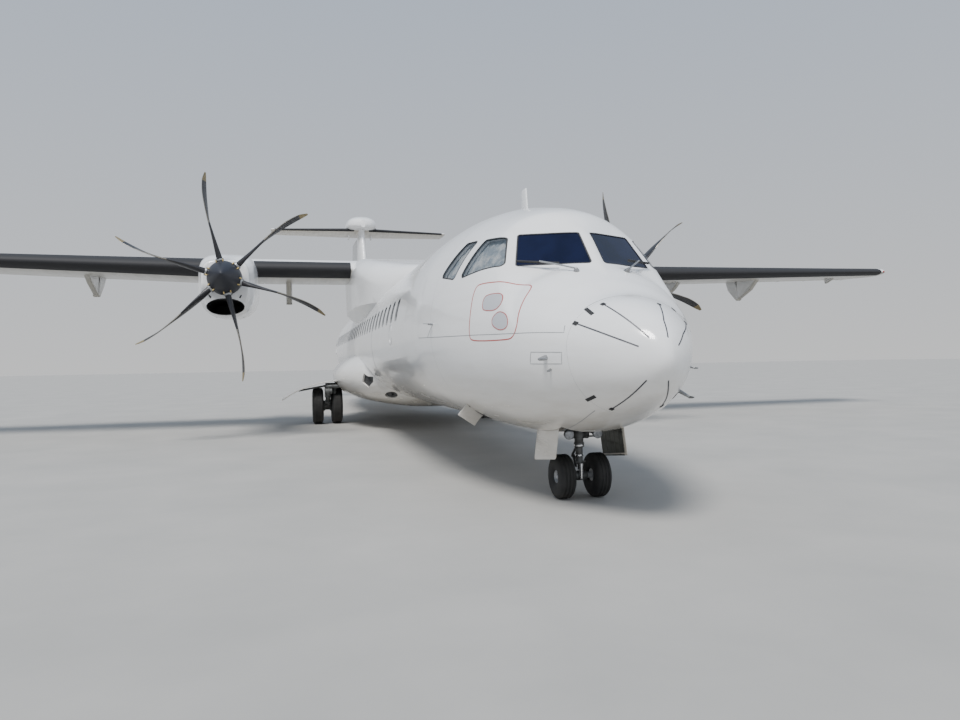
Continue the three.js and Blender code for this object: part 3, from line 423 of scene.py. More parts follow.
def hull_at(station, height, side=1, inset=0.0):
    """The point at a station and a height, found by halving the angle."""
    low, high = np.zeros(np.shape(station)), np.full(np.shape(station), math.pi)
    for _ in range(24):
        guess = (low + high) / 2
        above = hull_point(station, guess, inset)[..., 2] > height
        low, high = np.where(above, guess, low), np.where(above, high, guess)
    return hull_point(station, low, inset) * (side, 1, 1)


print("nose tip", np.round(hull_point(0.0, 0.0), 3), "cabin side", np.round(hull_at(10.0, 1.83), 3))

# %% [markdown]
# A grid is a sheet of squares. Rolled round the sections and merged along its long edge it
# becomes a tube, which is easier to keep even than dozens of extrusions of a circle. A Solidify
# modifier then gives it a wall that grows inwards.

# %% Rolling a grid into a tube
def rolled(rings, closed=True, caps=False):
    rings = np.array(rings)
    levels, sides = rings.shape[:2]
    columns = sides if closed else sides - 1
    deselect()
    bpy.ops.mesh.primitive_grid_add(x_subdivisions=columns, y_subdivisions=levels - 1, size=1)
    piece = bpy.context.object
    if closed:
        rings = np.concatenate([rings, rings[:, :1]], axis=1)
    piece.data.vertices.foreach_set("co", rings.astype(np.float32).ravel())
    face_outwards(piece)
    if caps:
        edit(piece, "SELECT")
        bpy.ops.mesh.fill_holes(sides=0)
        bpy.ops.mesh.select_all(action="SELECT")
        bpy.ops.mesh.normals_make_consistent(inside=False)
        done()
    return piece


def around(count):
    """Directions all round a ring."""
    return np.linspace(0, 2 * math.pi, count, endpoint=False)


def hull_tube(stations, sides, inset=0.0, caps=False):
    """The hull between two stations, given as (first, last, spacing), or at each one listed."""
    if isinstance(stations, tuple):
        first, last, spacing = stations
        stations = np.linspace(first, last, max(2, round((last - first) / spacing) + 1))
    return rolled(hull_point(stations[:, None], around(sides)[None, :], inset), caps=caps)


# %% [markdown]
# Windows, doors and painted outlines all start as an outline of corners, rounded and pushed
# through the skin. A Boolean modifier with such a tool cuts the opening, or keeps only what is
# inside it, so a pane and its hole always match.

# %% Outlines pushed through the skin
def rounded(corners, radius, steps=5):
    """A closed outline in a flat pair of axes, each corner turned into an arc."""
    corners = [Vector(corner) for corner in corners]
    outline = []
    for k, corner in enumerate(corners):
        back = (corners[k - 1] - corner).normalized()
        ahead = (corners[(k + 1) % len(corners)] - corner).normalized()
        half = back.angle(ahead) / 2
        reach = radius / math.tan(half)
        centre = corner + (back + ahead).normalized() * (radius / math.sin(half))
        start, end = corner + back * reach - centre, corner + ahead * reach - centre
        for i in range(steps + 1):
            turned = start.lerp(end, i / steps).normalized() * radius
            outline.append(centre + turned)
    return outline


def centre_of(places):
    return sum((Vector(place) for place in places), Vector()) / len(places)


def grown(outline, by):
    """The outline with each corner moved outwards along the middle of its two sides."""
    middle_point = centre_of(outline)
    result = []
    for k, corner in enumerate(outline):
        along = (outline[(k + 1) % len(outline)] - outline[k - 1]).normalized()
        out = corner - middle_point
        out -= along * out.dot(along)
        result.append(corner + out.normalized() * by)
    return result


def pushed(outline, direction, reach):
    """A closed tool: a ring of vertices through the outline, extruded along a direction."""
    step = Vector(direction).normalized() * reach
    deselect()
    bpy.ops.mesh.primitive_circle_add(vertices=len(outline), radius=1, fill_type="NGON")
    piece = bpy.context.object
    for vertex, corner in zip(piece.data.vertices, outline):
        vertex.co = corner - step
    edit(piece, "SELECT")
    bpy.ops.mesh.extrude_region_move(TRANSFORM_OT_translate={"value": step * 2})
    bpy.ops.mesh.select_all(action="SELECT")
    bpy.ops.mesh.normals_make_consistent(inside=False)
    return done()


def carve(piece, tool, operation="DIFFERENCE"):
    """Cuts the tool away from the piece, or joins or intersects them, and uses the tool up."""
    modify(piece, "BOOLEAN", operation=operation, object=tool, solver="MANIFOLD")
    remove(tool)
    return piece

# %% [markdown]
# ## White paint
# The whole airframe wears glossy white paint over its skin. Close up it isn't one colour: it
# gathers streaks of dirt, low down and round the keel it is tinted warm beige as painted reflection
# of the ground, polish marks change its shine, and the panel joints show as thin grey lines.

# %% White paint with joints, dirt and painted ground reflection
SKIN_JOINTS = (0.62, 2.9, 5.9, 16.9, 21.6, 24.4)


def white_paint(name, joints=(), tint=(0.84, 0.845, 0.85), duct_painted_shade=False):
    paint = Finish(name, Coat_Weight=0.6, Coat_Roughness=0.06, IOR=1.5)
    cloud = paint.noise(1.3)
    streak = paint.noise(5.0, stretch=(1.0, 0.16, 2.2))
    fine = paint.noise(60.0, detail=2.0)
    # low weights a warm beige painted reflection of the ground below 0.65 m, fading out by 1.45 m. The
    # streaked dirt is real dirt; its heavier share low down is also part of that painted reflection.
    low = 1 - paint.z.between(0.65, 1.45)
    dirt = (low * 0.5 + 0.10) * (streak.between(0.42, 0.75) * 0.7 + cloud * 0.3)
    colour = paint.mix(dirt, paint.mix(low * 0.6, tint, (0.60, 0.54, 0.44)), (0.42, 0.37, 0.28))
    marks = [paint.y.near(station + AFT, 0.0022, 0.0012) for station in joints]
    if marks:
        line = functools.reduce(Amount.most, marks)
        colour = paint.mix(line * 0.55, colour, (0.30, 0.31, 0.32))
        paint.bump(line * -1.0 + fine * 0.05, 0.0012, 0.6)
    else:
        paint.bump(fine, 0.0003, 0.3)
    if duct_painted_shade:
        # Inside the intake duct the paint turns near-black: painted shade for the deep, unlit duct.
        across, up = (paint.x.size() - 4.05) / 0.345, (paint.z - 2.54) / 0.16
        inside = (across * across + up * up < 1) * (paint.y > 9.2 + AFT) * (paint.y < 10.6 + AFT)
        colour = paint.mix(inside, colour, (0.012, 0.012, 0.013))
    return paint.give(Base_Color=colour, Roughness=cloud * 0.10 + dirt * 0.3 + 0.14)


hull_paint = white_paint("hull paint", SKIN_JOINTS)
composite_paint = white_paint("composite paint")

# %% [markdown]
# ## Skins
# The nose needs the closest mesh, because the windscreen's creases run slantwise across it. The
# straight cabin only needs enough directions round it to look round.

# %% Skins of the fuselage
WALL, THIN_WALL = 0.05, 0.012


def walled(piece, thickness=WALL):
    return modify(piece, "SOLIDIFY", thickness=thickness, offset=-1, use_even_offset=False)


nose_stations = np.concatenate([np.arange(0.6203, 0.8, 0.03), np.arange(0.82, 2.86, 0.02), [2.8997]])
tip_stations = np.concatenate([[0.0], 0.6197 * np.linspace(0.03, 1, 30) ** 1.7])
skins = {
    "radome": hull_tube(tip_stations, 192),
    "nose_shell": hull_tube(nose_stations, 256),
    "forward_fuselage": hull_tube((2.9003, 5.8997, 0.05), 160),
    "centre_fuselage": hull_tube((5.9003, 16.8997, 0.25), 160),
    "aft_fuselage": hull_tube((16.9003, 21.5997, 0.06), 160),
    "tail_cone": hull_tube((21.6003, TAIL_TIP, 0.08), 128),
}
for name, skin in skins.items():
    walled(skin, THIN_WALL if name in ("radome", "tail_cone") else WALL)
    print(name, len(skin.data.vertices), "vertices, box", [round(v, 3) for v in skin.dimensions])

# %% [markdown]
# ## Flight deck windows
# Two flat heated screens, and a side and a rear window on each side. Each is cut straight
# through the wall, gets a black rubber seal round it, and a pane set a few millimetres in.

# %% Window outlines
SIDE_WINDOW = [(0.686, 1.932, 2.663), (0.799, 1.68, 2.33), (1.119, 2.314, 2.273), (0.833, 2.259, 2.696)]
REAR_WINDOW = [(0.865, 2.399, 2.712), (1.147, 2.437, 2.282), (1.205, 2.842, 2.35), (0.931, 2.659, 2.725)]
WINDOWS = {
    "windshield": ([SCREEN[k] for k in ("inner top", "inner base", "outer base", "outer top")],
                   tuple(pane_normal), 0.03),
    "side_window": (SIDE_WINDOW, (0.82, -0.32, 0.48), 0.05),
    "rear_window": (REAR_WINDOW, (0.88, -0.1, 0.45), 0.05),
}


def window_tool(name, by=0.0, side=1):
    """A tool for one window, its outline grown by so much."""
    corners, direction, radius = WINDOWS[name]
    outline = grown(rounded([spot(*corner) for corner in corners], radius), by)
    flip = Vector((side, 1, 1))
    return pushed([point * flip for point in outline], Vector(direction) * flip, 0.23)


# %% Seals and panes
both_sides = [(name, side) for name in WINDOWS for side in (1, -1)]
for name, side in both_sides:
    carve(skins["nose_shell"], window_tool(name, side=side))
window_belt, seal_belt = (walled(hull_tube((1.1, 3.0, 0.02), 256, inset), wall)
                          for inset, wall in ((0.004, 0.008), (-0.0015, 0.022)))
glazing = {}
for name, side in both_sides:
    pane = carve(copy_of(window_belt), window_tool(name, -0.002, side), "INTERSECT")
    seal = carve(copy_of(seal_belt), window_tool(name, 0.0, side), "INTERSECT")
    carve(seal, window_tool(name, -0.014, side))
    glazing[name, side] = pane, seal
remove(window_belt, seal_belt)
print("panes and seals:", len(glazing))

# %% Glass and rubber
def scaled(colour, by):
    """The colour, so many times as bright."""
    return tuple(channel * by for channel in colour)


def glass(name, colour, alpha):
    pane = Finish(name, Roughness=0.03, IOR=1.4, Alpha=alpha, Specular_IOR_Level=0.3)
    haze = pane.noise(2.4)
    pane.bump(pane.noise(7.0, detail=1.0), 0.0015, 0.25)
    return pane.give(Base_Color=pane.mix(haze.between(0.35, 0.65), colour, scaled(colour, 0.5)),
                     Roughness=haze * 0.05 + 0.02)


def rubber(name, colour=(0.018, 0.018, 0.019)):
    seal = Finish(name)
    grain = seal.noise(140.0)
    seal.bump(grain, 0.0006, 0.5)
    return seal.give(Base_Color=seal.mix(grain.between(0.5, 0.8), colour, scaled(colour, 2.6)),
                     Roughness=grain * 0.2 + 0.6)


# The windscreen is a nearly opaque dark navy: painted shade of the dark flight deck behind it and painted
# reflection of the sky. The haze noise mixes in darker patches of the same.
screen_glass_painted_shade = glass("screen glass painted shade and reflection", (0.006, 0.009, 0.032), 0.93)
side_glass = glass("side glass", (0.10, 0.13, 0.16), 0.24)
black_rubber = rubber("black rubber")
for (name, side), (pane, seal) in glazing.items():
    label = f"{name}_{'left' if side > 0 else 'right'}"
    finish = screen_glass_painted_shade if name == "windshield" else side_glass
    hand_over(pane, f"{label}_pane", "flight_deck_glass", finish, label)
    hand_over(seal, f"{label}_seal", "deck_trim", black_rubber)

# %% [markdown]
# ## Wing
# The wing is straight over the engines and tapers outboard. An aerofoil outline is laid on each
# station of its table, and the last hand's breadth is rounded off like the real tip. The grid
# that carries it has more rows near the leading edge, where the curve is tightest.

# %% Aerofoil outline
def aerofoil(chord, thickness, camber, points=26):
    """Points (distance aft, height) from the upper trailing edge round the nose and back."""
    stretch = (1 - np.cos(np.linspace(0, math.pi, points + 1))) / 2
    half = 5 * thickness * (0.2969 * np.sqrt(stretch) - 0.126 * stretch - 0.3516 * stretch ** 2
                            + 0.2843 * stretch ** 3 - 0.1036 * stretch ** 4) + 0.003 * stretch
    mean = camber * 4 * stretch * (1 - stretch)
    upper = np.stack([stretch, mean + half], -1)[:0:-1]
    under = np.stack([stretch, mean - half], -1)[1:]
    return np.concatenate([upper, [[0, 0]], under]) * chord


# %% Wing stations
INCIDENCE = math.radians(1.5)
SPAN_END, BREAK = 13.525, 4.7
WING = np.array([
    [0, 10.9, 2.57, 3.52, 0.18], [BREAK, 10.9, 2.57, 3.52, 0.18],
    [SPAN_END - 0.16, 11.59, 1.61, 3.776, 0.14],
])


def wing_row(across):
    station, chord, height, ratio = (np.interp(across, WING[:, 0], WING[:, k]) for k in (1, 2, 3, 4))
    tip = np.clip((across - SPAN_END + 0.16) / 0.16, 0, 1)
    fall = 1 - math.sqrt(1 - tip ** 2)
    return station + 0.16 * fall, chord * (1 - 0.17 * fall), height + 0.006 * tip, ratio * (1 - 0.93 * fall)


def wing_ring(across):
    station, chord, height, ratio = wing_row(abs(across))
    aft, rise = aerofoil(chord, ratio, 0.025).T
    return np.stack([np.full_like(aft, across), station + AFT + aft * math.cos(INCIDENCE)
                     + rise * math.sin(INCIDENCE),
                     height + rise * math.cos(INCIDENCE) - aft * math.sin(INCIDENCE)], -1)


tip_rows = SPAN_END - 0.16 * (1 - np.sin(np.linspace(0, math.pi / 2, 9)))
centre_rows = np.concatenate([[-4.69985], np.arange(-4.5, 4.6, 0.25), [4.69985]])
outer_rows = np.concatenate([[4.70015], np.arange(4.9, 13.3, 0.2), tip_rows])
wing_centre = rolled([wing_ring(x) for x in centre_rows], caps=True)
outer_wing = rolled([wing_ring(x) for x in outer_rows], caps=True)
print("wing loft:", len(outer_wing.data.polygons), "faces a side")

# %% [markdown]
# Flaps and ailerons are cut out of the same loft, so that they carry its surface on. The bays
# are boxes behind the flap line, with 12 mm of air all round the moving pieces.

# %% Cut the flaps and ailerons
def block(x, y, z):
    """A box between two places on each axis, used only as a cutting tool."""
    deselect()
    bpy.ops.mesh.primitive_cube_add(size=1, location=[(a + b) / 2 for a, b in (x, y, z)],
                                    scale=[abs(b - a) for a, b in (x, y, z)])
    return settle()


def between_ends(x, station, gap=0.0):
    """A tool for all that lies aft of a station, between two places along the span."""
    return block((x[0] + gap, x[1] - gap), (station + gap + AFT, 14.3 + AFT), (0.5, 8))


GAP, CLEAR = 0.012, 0.0006
FLAP_LINE, AILERON_LINE = 12.73, 12.79
INNER_FLAP, OUTER_FLAP, AILERON = (1.64, 3.48), (4.74, 9.72), (9.76, 13.12)
inner_flap = carve(copy_of(wing_centre), between_ends(INNER_FLAP, FLAP_LINE, GAP), "INTERSECT")
outer_flap = carve(copy_of(outer_wing), between_ends(OUTER_FLAP, FLAP_LINE, GAP), "INTERSECT")
aileron = carve(copy_of(outer_wing), block((AILERON[0] + GAP, AILERON[1] - GAP),
                                           (AILERON_LINE + AFT, 0.7), (0.5, 8)), "INTERSECT")
for side in (1, -1):
    carve(wing_centre, between_ends(sorted(side * x for x in INNER_FLAP), FLAP_LINE))
carve(outer_wing, between_ends(OUTER_FLAP, FLAP_LINE))
carve(outer_wing, between_ends(AILERON, AILERON_LINE - 0.092))
print("flap and aileron:", len(outer_flap.data.polygons), len(aileron.data.polygons), "faces")

# %% [markdown]
# The aileron turns on a rounded nose. A cylinder primitive is laid along the hinge line and
# tapered with it, then joined on by a Boolean union.

# %% Rods, and the aileron's nose
def rod(start, end, radius, end_radius=None, sides=32):
    """A round bar between two points: a cylinder turned along the line and moved there."""
    start, end = Vector(start), Vector(end)
    along = end - start
    deselect()
    bpy.ops.mesh.primitive_cone_add(vertices=sides, radius1=radius, depth=along.length,
                                    radius2=radius if end_radius is None else end_radius)
    turn = along.to_track_quat("Z", "Y").to_matrix().to_4x4()
    bpy.context.object.matrix_world = Matrix.Translation((start + end) / 2) @ turn
    return settle()


def wing_height(across):
    return 3.52 + 0.26 * max(0.0, abs(across) - BREAK) / (SPAN_END - BREAK)


def aileron_axis(across):
    return Vector((across, AILERON_LINE + AFT, wing_height(across) - 0.01))


carve(aileron, rod(aileron_axis(9.775), aileron_axis(13.105), 0.08, 0.057, 48), "UNION")
carve(aileron, rod(aileron_axis(9.7608), aileron_axis(13.1192), 0.022), "UNION")

# %% [markdown]
# Each flap hangs on an arm below it that turns in a fixed blade under the wing. The blade is a
# flat plate with a rounded lower edge, here an outline pushed across and bevelled.

# %% Flap fairings and arms
PIVOT = {"inner": 2.93, "outer": 3.09}


def plate(outline, x, bevel=0.0):
    """An outline of (y, z) pushed across from x[0] to x[1], its edges softened."""
    middle_x, half = sum(x) / 2, (x[1] - x[0]) / 2
    piece = pushed([Vector((middle_x, y, z)) for y, z in outline], (1, 0, 0), half)
    return soften(piece, bevel) if bevel else piece


def fairing_blade(across, pivot):
    root = wing_height(across) - 0.02
    turn = [math.pi + math.pi * i / 16 + math.pi / 8 for i in range(17)]
    arc = [(FLAP_LINE + AFT + 0.06 * math.cos(a), pivot + 0.06 * math.sin(a)) for a in turn]
    outline = [(11.7 + AFT, root), (12.15 + AFT, pivot + 0.19), *arc, (12.712 + AFT, root)]
    return plate(outline, (across - 0.055, across + 0.055), 0.018)


def flap_arm(across, pivot):
    y, root = FLAP_LINE + AFT, wing_height(across)
    station, chord, _, _ = wing_row(across)
    tail = station + chord + AFT - 0.09
    outline = [(y - 0.05, pivot - 0.03), (y + 0.02, pivot - 0.06), (y + 0.4, pivot + 0.45 * (root - pivot)),
               (tail, root - 0.095), (tail, root - 0.058), (y + 0.09, root - 0.02),
               (y + 0.04, root - 0.15), (y - 0.05, pivot + 0.04)]
    arm = plate(outline, (across - 0.0693, across + 0.0693), 0.008)
    return carve(arm, block((across - 0.0553, across + 0.0553), (y - 0.3, y + 0.13), (0, 8)))


for across in (7.1, 9.45):
    carve(outer_flap, flap_arm(across, PIVOT["outer"]), "UNION")
    carve(outer_wing, fairing_blade(across, PIVOT["outer"]), "UNION")
carve(inner_flap, flap_arm(2.9, PIVOT["inner"]), "UNION")
for across in (2.9, -2.9):
    carve(wing_centre, fairing_blade(across, PIVOT["inner"]), "UNION")
root = wing_height(12.3)
aileron_blade = [(12.0 + AFT, root), (12.55 + AFT, root - 0.2), (12.62 + AFT, root - 0.21),
                 (12.69 + AFT, root)]
carve(outer_wing, plate(aileron_blade, (12.275, 12.325), 0.012), "UNION")

# %% [markdown]
# ## Wing paint
# White above and warm grey below, the grey a painted shade of the underside out of the light, with
# faint chordwise joints and streaks that run aft in the airflow. The face's own direction tells top from
# bottom.

# %% Wing paint
def wing_paint(name, under=(0.44, 0.42, 0.37), top=(0.82, 0.825, 0.83)):
    paint = Finish(name, Coat_Weight=0.35, Coat_Roughness=0.12)
    facing = paint.tree.nodes.new("ShaderNodeNewGeometry").outputs["Normal"]
    parts = paint.tree.nodes.new("ShaderNodeSeparateXYZ")
    paint.tree.links.new(facing, parts.inputs[0])
    over = Amount(paint, parts.outputs[2]).between(-0.25, 0.05)
    streak = paint.noise(3.0, stretch=(3.0, 0.25, 1.0))
    fine = paint.noise(70.0, detail=2.0)
    # The underside colour is painted shade: the grey stands for the white underside out of the light; the
    # streaks on it are real.
    underside_shade_and_streaks = paint.mix(streak.between(0.35, 0.7), under, scaled(under, 0.82))
    colour = paint.mix(over, underside_shade_and_streaks, top)
    cell = (paint.x.size() / 1.15).sum("FRACT")
    line = (cell - 0.5).size().between(0.4985, 0.4995)
    colour = paint.mix(line * 0.4, colour, (0.2, 0.2, 0.2))
    paint.bump(fine * 0.2 - line, 0.0012, 0.4)
    return paint.give(Base_Color=colour, Roughness=streak * 0.2 + 0.22)


wing_white_painted_shade_under = wing_paint("wing paint")
hand_over_pair(outer_wing, "outer_wing_{}_skin", "wing_paint", wing_white_painted_shade_under, "outer_wing_{}")
for name, piece in (("outer_flap_{}", outer_flap), ("inner_flap_{}", inner_flap), ("aileron_{}", aileron)):
    hand_over_pair(piece, name + "_skin", "wing_paint", wing_white_painted_shade_under, name, body=name)
hand_over(wing_centre, "wing_centre_skin", "wing_paint", wing_white_painted_shade_under, "wing_centre")

# %% [markdown]
# ## De-icing boots
# Black rubber boots wrap the leading edges of wing and tailplane. They are raised sheets a few
# millimetres thick, laid on the same aerofoil from just above the nose to just under it.

# %% Wing boots
def boot(rows, ring_at, first, last):
    """A strip of the surface from column first to column last, thickened both ways."""
    strip_rows = [ring_at(x)[first:last + 1] for x in rows]
    return modify(rolled(strip_rows, closed=False), "SOLIDIFY", thickness=0.004, offset=0)


wing_boots = [boot(np.linspace(low, high, round((high - low) / 0.2)) * side, wing_ring, first, 32)
              for low, high, first in ((1.565, 3.62, 22), (4.5, 13.3, 20)) for side in (1, -1)]
boot_rubber = rubber("boot rubber", (0.012, 0.012, 0.014))
hand_over(face_outwards(joined(wing_boots)), "wing_boots", "wing_paint", boot_rubber, angle=50)

# %% [markdown]
# ## Fairings under and over the wing
# A blister of composite skin covers the wing's joint with the roof, and a long belly fairing
# carries the main gear in two sponsons. Both are lofts whose sections flatten where the real
# ones do, trimmed by the hull that they sit on.

# %% Superellipse rings
def superellipse(station, centre, wide, top, bottom, power=2.0, lower=None, sides=96, x=0.0):
    angle = around(sides)
    upper = np.cos(angle) > 0
    power = np.where(upper, power, lower or power)
    up = np.where(upper, top - centre, centre - bottom)
    reach = section_reach(wide, up, angle, power)
    return np.stack([x + reach * np.sin(angle), np.full(sides, station + AFT),
                     centre + reach * np.cos(angle)], -1)


def resampled(table, spacing):
    """The rows of a table with smooth rows added between them."""
    table = np.array(table, float) / 1000
    stations = np.linspace(table[0, 0], table[-1, 0], round((table[-1, 0] - table[0, 0]) / spacing) + 1)
    return stations, [curve_through(table[:, 0], table[:, k])(stations) for k in range(1, table.shape[1])]


# %% Belly fairing
BELLY = [[8700, 420, 664], [9300, 900, 545], [10000, 1300, 485], [10800, 1620, 470], [11600, 1820, 470],
         [12400, 1880, 470], [13600, 1860, 475], [14800, 1690, 520], [15800, 1380, 600], [16500, 700, 672]]
stations, (wide, bottom) = resampled(BELLY, 0.08)
belly = rolled([superellipse(s, 1.15, w, 1.85, b, 2.0, 2.4, 128)
                for s, w, b in zip(stations, wide, bottom)], caps=True)
hull_tool = hull_tube((7.0, 18.0, 0.25), 160, -CLEAR, caps=True)
carve(belly, copy_of(hull_tool))
for side in (1, -1):
    x = sorted((side * 1.23, side * 2.6))
    carve(belly, block(x, (12.05 + AFT, 13.17 + AFT), (0, 1.01)))
SCOOP = [(-1.391, 10.212, 1.217), (-1.324, 10.052, 1.156), (-1.232, 9.861, 1.145), (-1.229, 9.872, 1.037),
         (-1.309, 10.122, 0.913), (-1.417, 10.282, 1.026)]
VENT_MIDDLE, VENT_LONG, VENT_SHORT = (-0.906, 9.541, 0.765), (0.1065, -0.185, 0.001), (0.013, 0.1, -0.067)
VENT = [spot(*VENT_MIDDLE) + Vector(VENT_LONG) * math.cos(a) + Vector(VENT_SHORT) * math.sin(a)
        for a in around(28)]
SCOOP = rounded([spot(*corner) for corner in SCOOP], 0.012, 3)
INLETS = (SCOOP, Vector((-0.89, -0.41, -0.05))), (VENT, Vector((-0.65, -0.38, -0.66)))
for outline, out in INLETS:
    for flip in (Vector((1, 1, 1)), Vector((-1, 1, 1))):
        carve(belly, pushed([point * flip for point in outline], out * flip, 0.16))
print("belly fairing:", len(belly.data.polygons), "faces")

# %% Wing fairing
FAIRING = [[8250, 420, 3275, 250], [9000, 1050, 3380, 620], [9800, 1400, 3530, 980],
           [10600, 1540, 3680, 1180], [11300, 1560, 3790, 1220], [12600, 1560, 3780, 1220],
           [13700, 1480, 3650, 1100], [15000, 1150, 3440, 760], [16300, 500, 3275, 250]]


def fairing_ring(station, half, top, flat):
    corner = min(half - flat, top - 2.9)
    turn = np.linspace(0, math.pi / 2, 12)
    side = [(x, top) for x in np.linspace(0, flat, 9)[:-1]]
    side += [(flat + (half - flat) * math.sin(a), top - corner * (1 - math.cos(a))) for a in turn]
    last, foot = Vector(side[-1]), Vector((half * 0.985, 2.64))
    side += [last.lerp(foot, 0.34), last.lerp(foot, 0.67), foot, (half * 0.8, 2.38)]
    port = [(x, station + AFT, z) for x, z in side]
    starboard = [(-x, y, z) for x, y, z in port[1:]][::-1]
    return port + starboard


stations, (half, top, flat) = resampled(FAIRING, 0.1)
wing_blister = rolled([fairing_ring(*row) for row in zip(stations, half, top, flat)], caps=True)
carve(wing_blister, hull_tool)


def wing_tool(first, last):
    """A stretch of the wing, grown a little, that cuts room for the wing."""
    stretch = rolled([wing_ring(x) for x in np.linspace(first, last, 9)], caps=True)
    return modify(stretch, "DISPLACE", strength=0.0008, mid_level=0)


carve(wing_blister, wing_tool(-4.6, 4.6))
hand_over(belly, "belly_fairing_skin", "composite_paint", composite_paint, "belly_fairing")
hand_over(wing_blister, "wing_fairing_skin", "composite_paint", composite_paint, "wing_fairing")

# %% [markdown]
# ## Nacelles
# Each engine sits in a deep pod under the wing with squared shoulders. Its front rolls in to
# the spinner, and a wide mouth below feeds air to the engine. The mouth's lip is polished.

# %% Nacelle
HUB = (4.05, -4.593, 3.07)
POD = [[9300, 440, 3440, 2365], [9600, 520, 3565, 2345], [10200, 540, 3660, 2360], [11000, 530, 3680, 2400],
       [12000, 495, 3620, 2500], [13000, 450, 3540, 2700], [13800, 360, 3470, 2940],
       [14400, 230, 3410, 3120], [14700, 110, 3350, 3210]]
stations, (wide, top, bottom) = resampled(POD, 0.06)
rows = []
for turn in np.linspace(math.pi / 2, 0.15, 6):
    pull = 0.055 * (1 - math.cos(turn))
    rows.append((9.3 - 0.075 * math.sin(turn), 0.44 - pull, 3.44 - pull, 2.365 + pull))
pod = rolled([superellipse(s, (t + b) / 2, w, t, b, 4.0, 2.5, 112, HUB[0])
              for s, w, t, b in [*rows, *zip(stations, wide, top, bottom)]], caps=True)
DUCT = [(9.15, 0.335, 2.535, 0.148), (9.25, 0.328, 2.536, 0.146), (9.4, 0.32, 2.54, 0.138),
        (9.8, 0.29, 2.55, 0.122), (10.3, 0.25, 2.56, 0.105)]


def duct_rings(table, inset=0.0):
    return [superellipse(s, c, w - inset, c + h - inset, c - h + inset, 2.4, x=HUB[0])
            for s, w, c, h in table]


carve(pod, rolled(duct_rings(DUCT), caps=True))
LINED = [(9.262, 0.327, 2.536, 0.145), *DUCT[2:4], (10.28, 0.25, 2.56, 0.105)]
duct_liner_painted_shade = modify(rolled(duct_rings(LINED, 0.001)), "SOLIDIFY", thickness=0.0015, offset=-1)
duct_end_painted_shade = block((3.78, 4.32), (10.27 + AFT, 10.275 + AFT), (2.4, 2.72))
intake_vanes = [rod((4.05 + dx, 9.23 + AFT, 2.71), (4.05 + dx * 1.12, 9.2 + AFT, 2.76), 0.016, 0.01, sides=16)
                for dx in (-0.26, 0.26)]
carve(pod, rod(spot(4.05, 9.1, 3.07), spot(4.05, 9.5, 3.07), 0.15, sides=48))
JET_PIPE = spot(4.23, 11.3, 2.96), spot(4.69, 12.25, 2.94)
carve(pod, rod(*JET_PIPE, 0.165, sides=48))
carve(pod, wing_tool(3.3, 4.9))
print("nacelle:", len(pod.data.polygons), "faces")
pod_paint = white_paint("nacelle paint", duct_painted_shade=True)
hand_over_pair(pod, "nacelle_{}_skin", "composite_paint", pod_paint, "nacelle_{}")
# The duct's liner and the plate that closes its end are black: painted shade for the unlit depth of the
# intake.
hand_over_pair([duct_liner_painted_shade, duct_end_painted_shade, *intake_vanes], "intake_{}_liner", "engine_metal", black_rubber)

# %% [markdown]
# ## Propellers
# Six composite blades, feathered edge-on to the airflow, nearly black with a thin metal strip on
# the leading edge and a yellowish band at the tip that is painted reflection. One blade is lofted from its
# sections, then copied and turned about the hub. The spinner is a profile spun round the shaft, with a hole
# per blade.

# %% Blade
BLADE = np.array([[300, 134, 118, 0, -4, 24], [560, 236, 72, -12, -12, 15], [1000, 298, 38, -34, -15, 2],
                  [1450, 285, 22, -30, 12, -9], [1800, 205, 14, 5, 72, -16], [1965, 66, 8, 34, 128, -19]])


def blade_ring(radius):
    *sizes, turn = (float(curve_through(BLADE[:, 0], BLADE[:, k])(radius)) for k in range(1, 6))
    chord, thick, aft, aside = (size / 1000 for size in sizes)
    turn = math.radians(turn)
    along, rise = aerofoil(chord, thick / chord, 0.0, 16).T
    along = along - chord / 2
    return np.stack([aside + rise * math.cos(turn) - along * math.sin(turn),
                     aft + rise * math.sin(turn) + along * math.cos(turn),
                     np.full_like(along, radius / 1000)], -1)


radii = [*np.linspace(300, 1800, 46), 1840, 1880, 1915, 1940, 1955, 1963]
blade = joined([rolled([blade_ring(r) for r in radii], caps=True), rod((0, 0, 0.19), (0, 0, 0.32), 0.066)])
edge_strip = rolled([blade_ring(r)[14:19] for r in np.linspace(1000, 1930, 30)], closed=False)
modify(edge_strip, "SOLIDIFY", thickness=0.0016, offset=0)
print("blade:", len(blade.data.polygons), "faces")

# %% Spin a profile round a line
def spun(profile, axis="Y", steps=64):
    """A profile of (radius, distance) turned once round an axis: an edge chain, then Spin."""
    deselect()
    bpy.ops.mesh.primitive_circle_add(vertices=len(profile), radius=1)
    piece = bpy.context.object
    along, out = {"X": (0, 2), "Y": (1, 0), "Z": (2, 0)}[axis]
    for vertex, (radius, distance) in zip(piece.data.vertices, profile):
        vertex.co = (0, 0, 0)
        vertex.co[out], vertex.co[along] = radius, distance
    closed = profile[0][0] > 1e-6 or profile[-1][0] > 1e-6
    edit(piece)
    if not closed:
        ends = {0, len(profile) - 1}
        pick("edges", lambda e: {v.index for v in e.verts} == ends)
        bpy.ops.mesh.delete(type="EDGE")
    bpy.ops.mesh.select_all(action="SELECT")
    bpy.ops.mesh.spin(steps=steps, angle=math.tau, center=(0, 0, 0), use_auto_merge=True,
                      axis=[float(k == along) for k in range(3)])
    done()
    return face_outwards(piece)


def moved(piece, shift=(0, 0, 0), turn=0.0, axis="Y"):
    """Turns a piece about an axis through the origin, then shifts it, in its mesh."""
    hold(piece)
    piece.matrix_world = Matrix.Translation(shift) @ Matrix.Rotation(turn, 4, axis)
    return settle()


